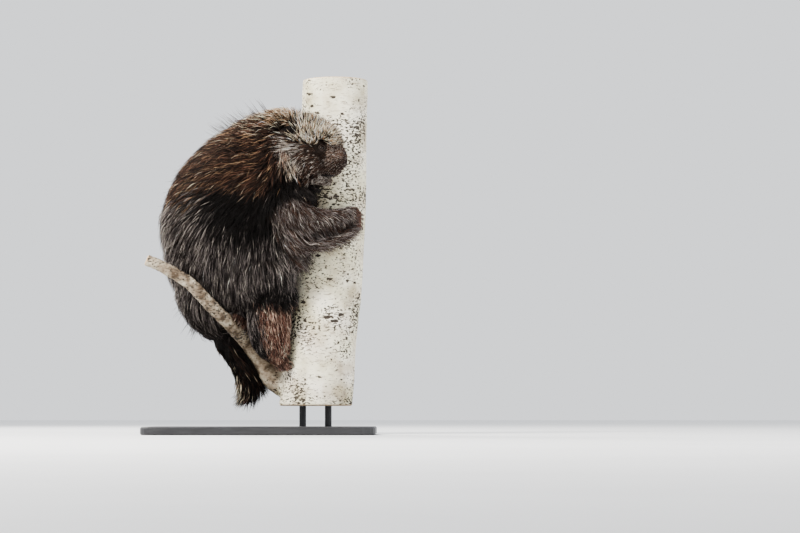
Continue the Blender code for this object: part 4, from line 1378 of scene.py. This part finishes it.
def bark_material():
    m = Nodes("bark", Roughness=0.78, Specular_IOR_Level=0.25)
    scar = m.attribute("marks", "Red")
    cut = m.attribute("marks", "Green")
    limb = m.attribute("marks", "Blue")
    green = m.attribute("place", "Green")
    base = m.mix(green, (0.87, 0.82, 0.71), (0.78, 0.75, 0.56))
    cloud = m.ramp(m.noise(16, 6), [(0.34, (0.62, 0.57, 0.50)), (0.56, (1.0, 1.0, 1.0))])
    base = m.mix(1.0, base, cloud, "MULTIPLY")
    smudge = m.ramp(m.noise(1, 5, m.stretched((34, 34, 70))), [(0.56, 0.0), (0.72, 0.75)])
    base = m.mix(smudge, base, (0.36, 0.30, 0.24))
    twig_tones = [(0.38, (0.085, 0.060, 0.040)), (0.50, (0.25, 0.200, 0.145)), (0.66, (0.47, 0.42, 0.33))]
    twig = m.ramp(m.noise(46, 6), twig_tones)
    base = m.mix(limb, base, twig)
    dashes = m.ramp(m.noise(1.0, 3, m.stretched((70, 70, 420))), [(0.60, 0.0), (0.66, 0.8)])
    base = m.mix(dashes, base, (0.30, 0.25, 0.19))
    crowd = m.noise(11, 3)
    flecks = m.add("ShaderNodeMath", operation="MULTIPLY_ADD")
    m.link(m.noise(1, 3, m.stretched((165, 165, 290))), flecks.inputs[0])
    flecks.inputs[1].default_value = 0.62
    shift = m.add("ShaderNodeMath", operation="MULTIPLY")
    m.link(crowd, shift.inputs[0])
    shift.inputs[1].default_value = 0.42
    m.link(shift.outputs[0], flecks.inputs[2])
    spots = m.ramp(flecks.outputs[0], [(0.560, 0.0), (0.588, 1.0)])
    base = m.mix(spots, base, (0.060, 0.050, 0.040))
    rough_edge = m.add("ShaderNodeMath", operation="MULTIPLY_ADD", use_clamp=True)
    m.link(m.noise(190, 4), rough_edge.inputs[0])
    rough_edge.inputs[1].default_value = 1.6
    rough_edge.inputs[2].default_value = -0.6
    broken = m.add("ShaderNodeMath", operation="SUBTRACT", use_clamp=True)
    m.link(scar, broken.inputs[0])
    m.link(rough_edge.outputs[0], broken.inputs[1])
    dark = m.ramp(broken.outputs[0], [(0.10, 0.0), (0.45, 1.0)])
    base = m.mix(dark, base, (0.050, 0.040, 0.033))
    rings = m.add("ShaderNodeMath", operation="SINE")
    grow = m.add("ShaderNodeMath", operation="MULTIPLY")
    m.link(m.attribute("place", "Red"), grow.inputs[0])
    grow.inputs[1].default_value = 420.0
    m.link(grow.outputs[0], rings.inputs[0])
    wood = m.ramp(rings.outputs[0], [(0.1, (0.66, 0.50, 0.33)), (0.8, (0.52, 0.37, 0.22))])
    base = m.mix(cut, base, wood)
    height = m.mix(0.5, m.noise(90, 6), dashes)
    return m.finish(base, height, 0.0014, 0.6)


def stand_material():
    m = Nodes("stand_paint", Roughness=0.42, Specular_IOR_Level=0.5)
    grain = m.noise(30, 6, m.stretched((1, 9, 9)))
    colour = m.ramp(grain, [(0.3, (0.022, 0.022, 0.024)), (0.7, (0.040, 0.040, 0.043))])
    return m.finish(colour, grain, 0.0005, 0.35)


def rod_material():
    m = Nodes("rod_paint", Roughness=0.36, Metallic=0.4)
    speck = m.noise(900, 3)
    colour = m.ramp(speck, [(0.3, (0.024, 0.024, 0.026)), (0.7, (0.036, 0.036, 0.039))])
    return m.finish(colour, speck, 0.0002, 0.4)


def floor_material():
    m = Nodes("floor", Roughness=0.7)
    cloud = m.noise(3, 4)
    return m.finish(m.ramp(cloud, [(0.3, (0.78, 0.785, 0.79)), (0.7, (0.82, 0.825, 0.83))]))


def skin_tones(mesh, mouth, nostrils):
    p = coords(mesh)
    x, y, z = (p / MM).T
    tone = np.tile((0.018, 0.013, 0.011), (len(p), 1)).astype(float)
    in_head = (z > 480) & (x > 60)
    face = (step(x, 95, 125) * in_head)[:, None]
    tone = tone * (1 - face) + np.array((0.030, 0.018, 0.013)) * face
    bridge = (step(x, 140, 158) * step(z, 548, 558) * in_head)[:, None]
    tone = tone * (1 - bridge) + np.array((0.110, 0.052, 0.030)) * bridge
    pad = (step(x, 163, 168) * step(z, 534, 538) * in_head)[:, None]
    tone = tone * (1 - pad) + np.array((0.034, 0.020, 0.017)) * pad
    lips = (step(x, 120, 130) * step(z, 518, 513) * in_head)[:, None]
    tone = tone * (1 - lips) + np.array((0.110, 0.080, 0.062)) * lips
    # Skin in the mouth's groove and inside the nostrils painted near black: painted shade in these hollows.
    near = np.flatnonzero(in_head & (x > 110))
    inside = step(nearest_gap(p[near], mouth), 4.2, 2.6)
    for hole in nostrils:
        inside = np.maximum(inside, step(np.linalg.norm(p[near] - hole, axis=1) / MM, 4.2, 2.6))
    tone[near] = tone[near] * (1 - inside[:, None]) + np.array((0.008, 0.004, 0.004)) * inside[:, None]
    for centre, reach in (((182, -34, 436), 46), ((172, 104, 450), 60), ((50, -4, 152), 30)):
        near = step(np.linalg.norm(p / MM - centre, axis=1), reach, reach * 0.6)[:, None]
        tone = tone * (1 - near) + np.array((0.115, 0.062, 0.050)) * near
    toes = np.linalg.norm(p / MM - np.array(on_limb(0.515, 30, 5)) / MM, axis=1)
    near = step(toes, 40, 22)[:, None]
    tone = tone * (1 - near) + np.array((0.080, 0.048, 0.036)) * near
    leg = (step(z, 330, 300) * step(z, 130, 160) * step(x, -24, 4) * step(y, 26, 6))[:, None]
    tone = tone * (1 - leg) + np.array((0.075, 0.030, 0.019)) * leg
    paint(mesh, "tone", tone)


# The scene


def finish_piece(obj, material, slot, *nodes):
    obj.data.materials.clear()
    obj.data.materials.append(material)
    for face in obj.data.polygons:
        face.use_smooth = True
    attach(obj, "root")
    if nodes:
        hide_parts(*nodes)


def make_camera():
    data = bpy.data.cameras.new("camera")
    data.sensor_width = 36
    aim = Vector(CAMERA_AIM)
    place = Vector((aim.x, aim.y - CAMERA_DISTANCE, CAMERA_HEIGHT))
    data.lens = 36 * (aim - place).length / VIEW_WIDTH
    camera = bpy.data.objects.new("camera", data)
    bpy.context.scene.collection.objects.link(camera)
    camera.location = place
    camera.rotation_mode = "QUATERNION"
    camera.rotation_quaternion = (aim - place).to_track_quat("-Z", "Y")
    bpy.context.scene.camera = camera


def make_light(name, place, aim, size, power, colour=(1, 1, 1)):
    data = bpy.data.lights.new(name, "AREA")
    data.size = size
    data.energy = power
    data.color = colour
    light = bpy.data.objects.new(name, data)
    bpy.context.scene.collection.objects.link(light)
    light.location = place
    light.rotation_mode = "QUATERNION"
    light.rotation_quaternion = (Vector(aim) - Vector(place)).to_track_quat("-Z", "Y")


def make_surroundings():
    mesh = bpy.data.meshes.new("floor")
    mesh.from_pydata([(-9, -9, 0), (9, -9, 0), (9, 9, 0), (-9, 9, 0)], [], [(0, 1, 2, 3)])
    floor = bpy.data.objects.new("floor", mesh)
    bpy.context.scene.collection.objects.link(floor)
    mesh.materials.append(floor_material())
    world = bpy.data.worlds.new("studio")
    world.use_nodes = True
    world.node_tree.nodes["Background"].inputs["Color"].default_value = (0.95, 0.97, 1.0, 1)
    world.node_tree.nodes["Background"].inputs["Strength"].default_value = 0.85
    bpy.context.scene.world = world
    middle = (0.0, 0.0, 0.38)
    make_light("key", (-1.5, -2.1, 2.5), middle, 0.9, 150, (1.0, 0.96, 0.9))
    make_light("fill", (2.4, -1.8, 1.2), middle, 1.8, 22)
    make_light("rim", (-1.2, 1.9, 2.1), middle, 1.0, 60, (1.0, 0.97, 0.92))


def main():
    bpy.context.scene.view_settings.look = "AgX - Medium High Contrast"
    bpy.context.scene.view_settings.exposure = 0.25
    make_camera()
    make_surroundings()

    skin, claws, eyes, mouth, nostrils = make_flesh()
    skin_tones(skin.data, mouth, nostrils)
    hair = hair_material()
    for strands in make_coat(skin, eyes, mouth, hair):
        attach(strands, "root")
    finish_piece(skin, skin_material(), "coat", *FLESH)
    horn = claw_material()
    for name, shell in claws.items():
        finish_piece(shell.build("claws_" + name), horn, "skin")
    gloss = eye_material()
    for side, (centre, _) in eyes.items():
        shell = Shell()
        shell.ellipsoid(np.array(centre) / MM, [EYE_RADIUS] * 3)
        finish_piece(shell.build("eyeball_" + side), gloss, "eye", "eye_" + side)
    finish_piece(make_perch(), bark_material(), "bark", "perch_trunk", "perch_limb")
    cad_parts["stand_base"].material_slots[0].material = stand_material()
    rods = rod_material()
    for name in ("stand_rod_left", "stand_rod_right"):
        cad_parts[name].material_slots[0].material = rods


main()
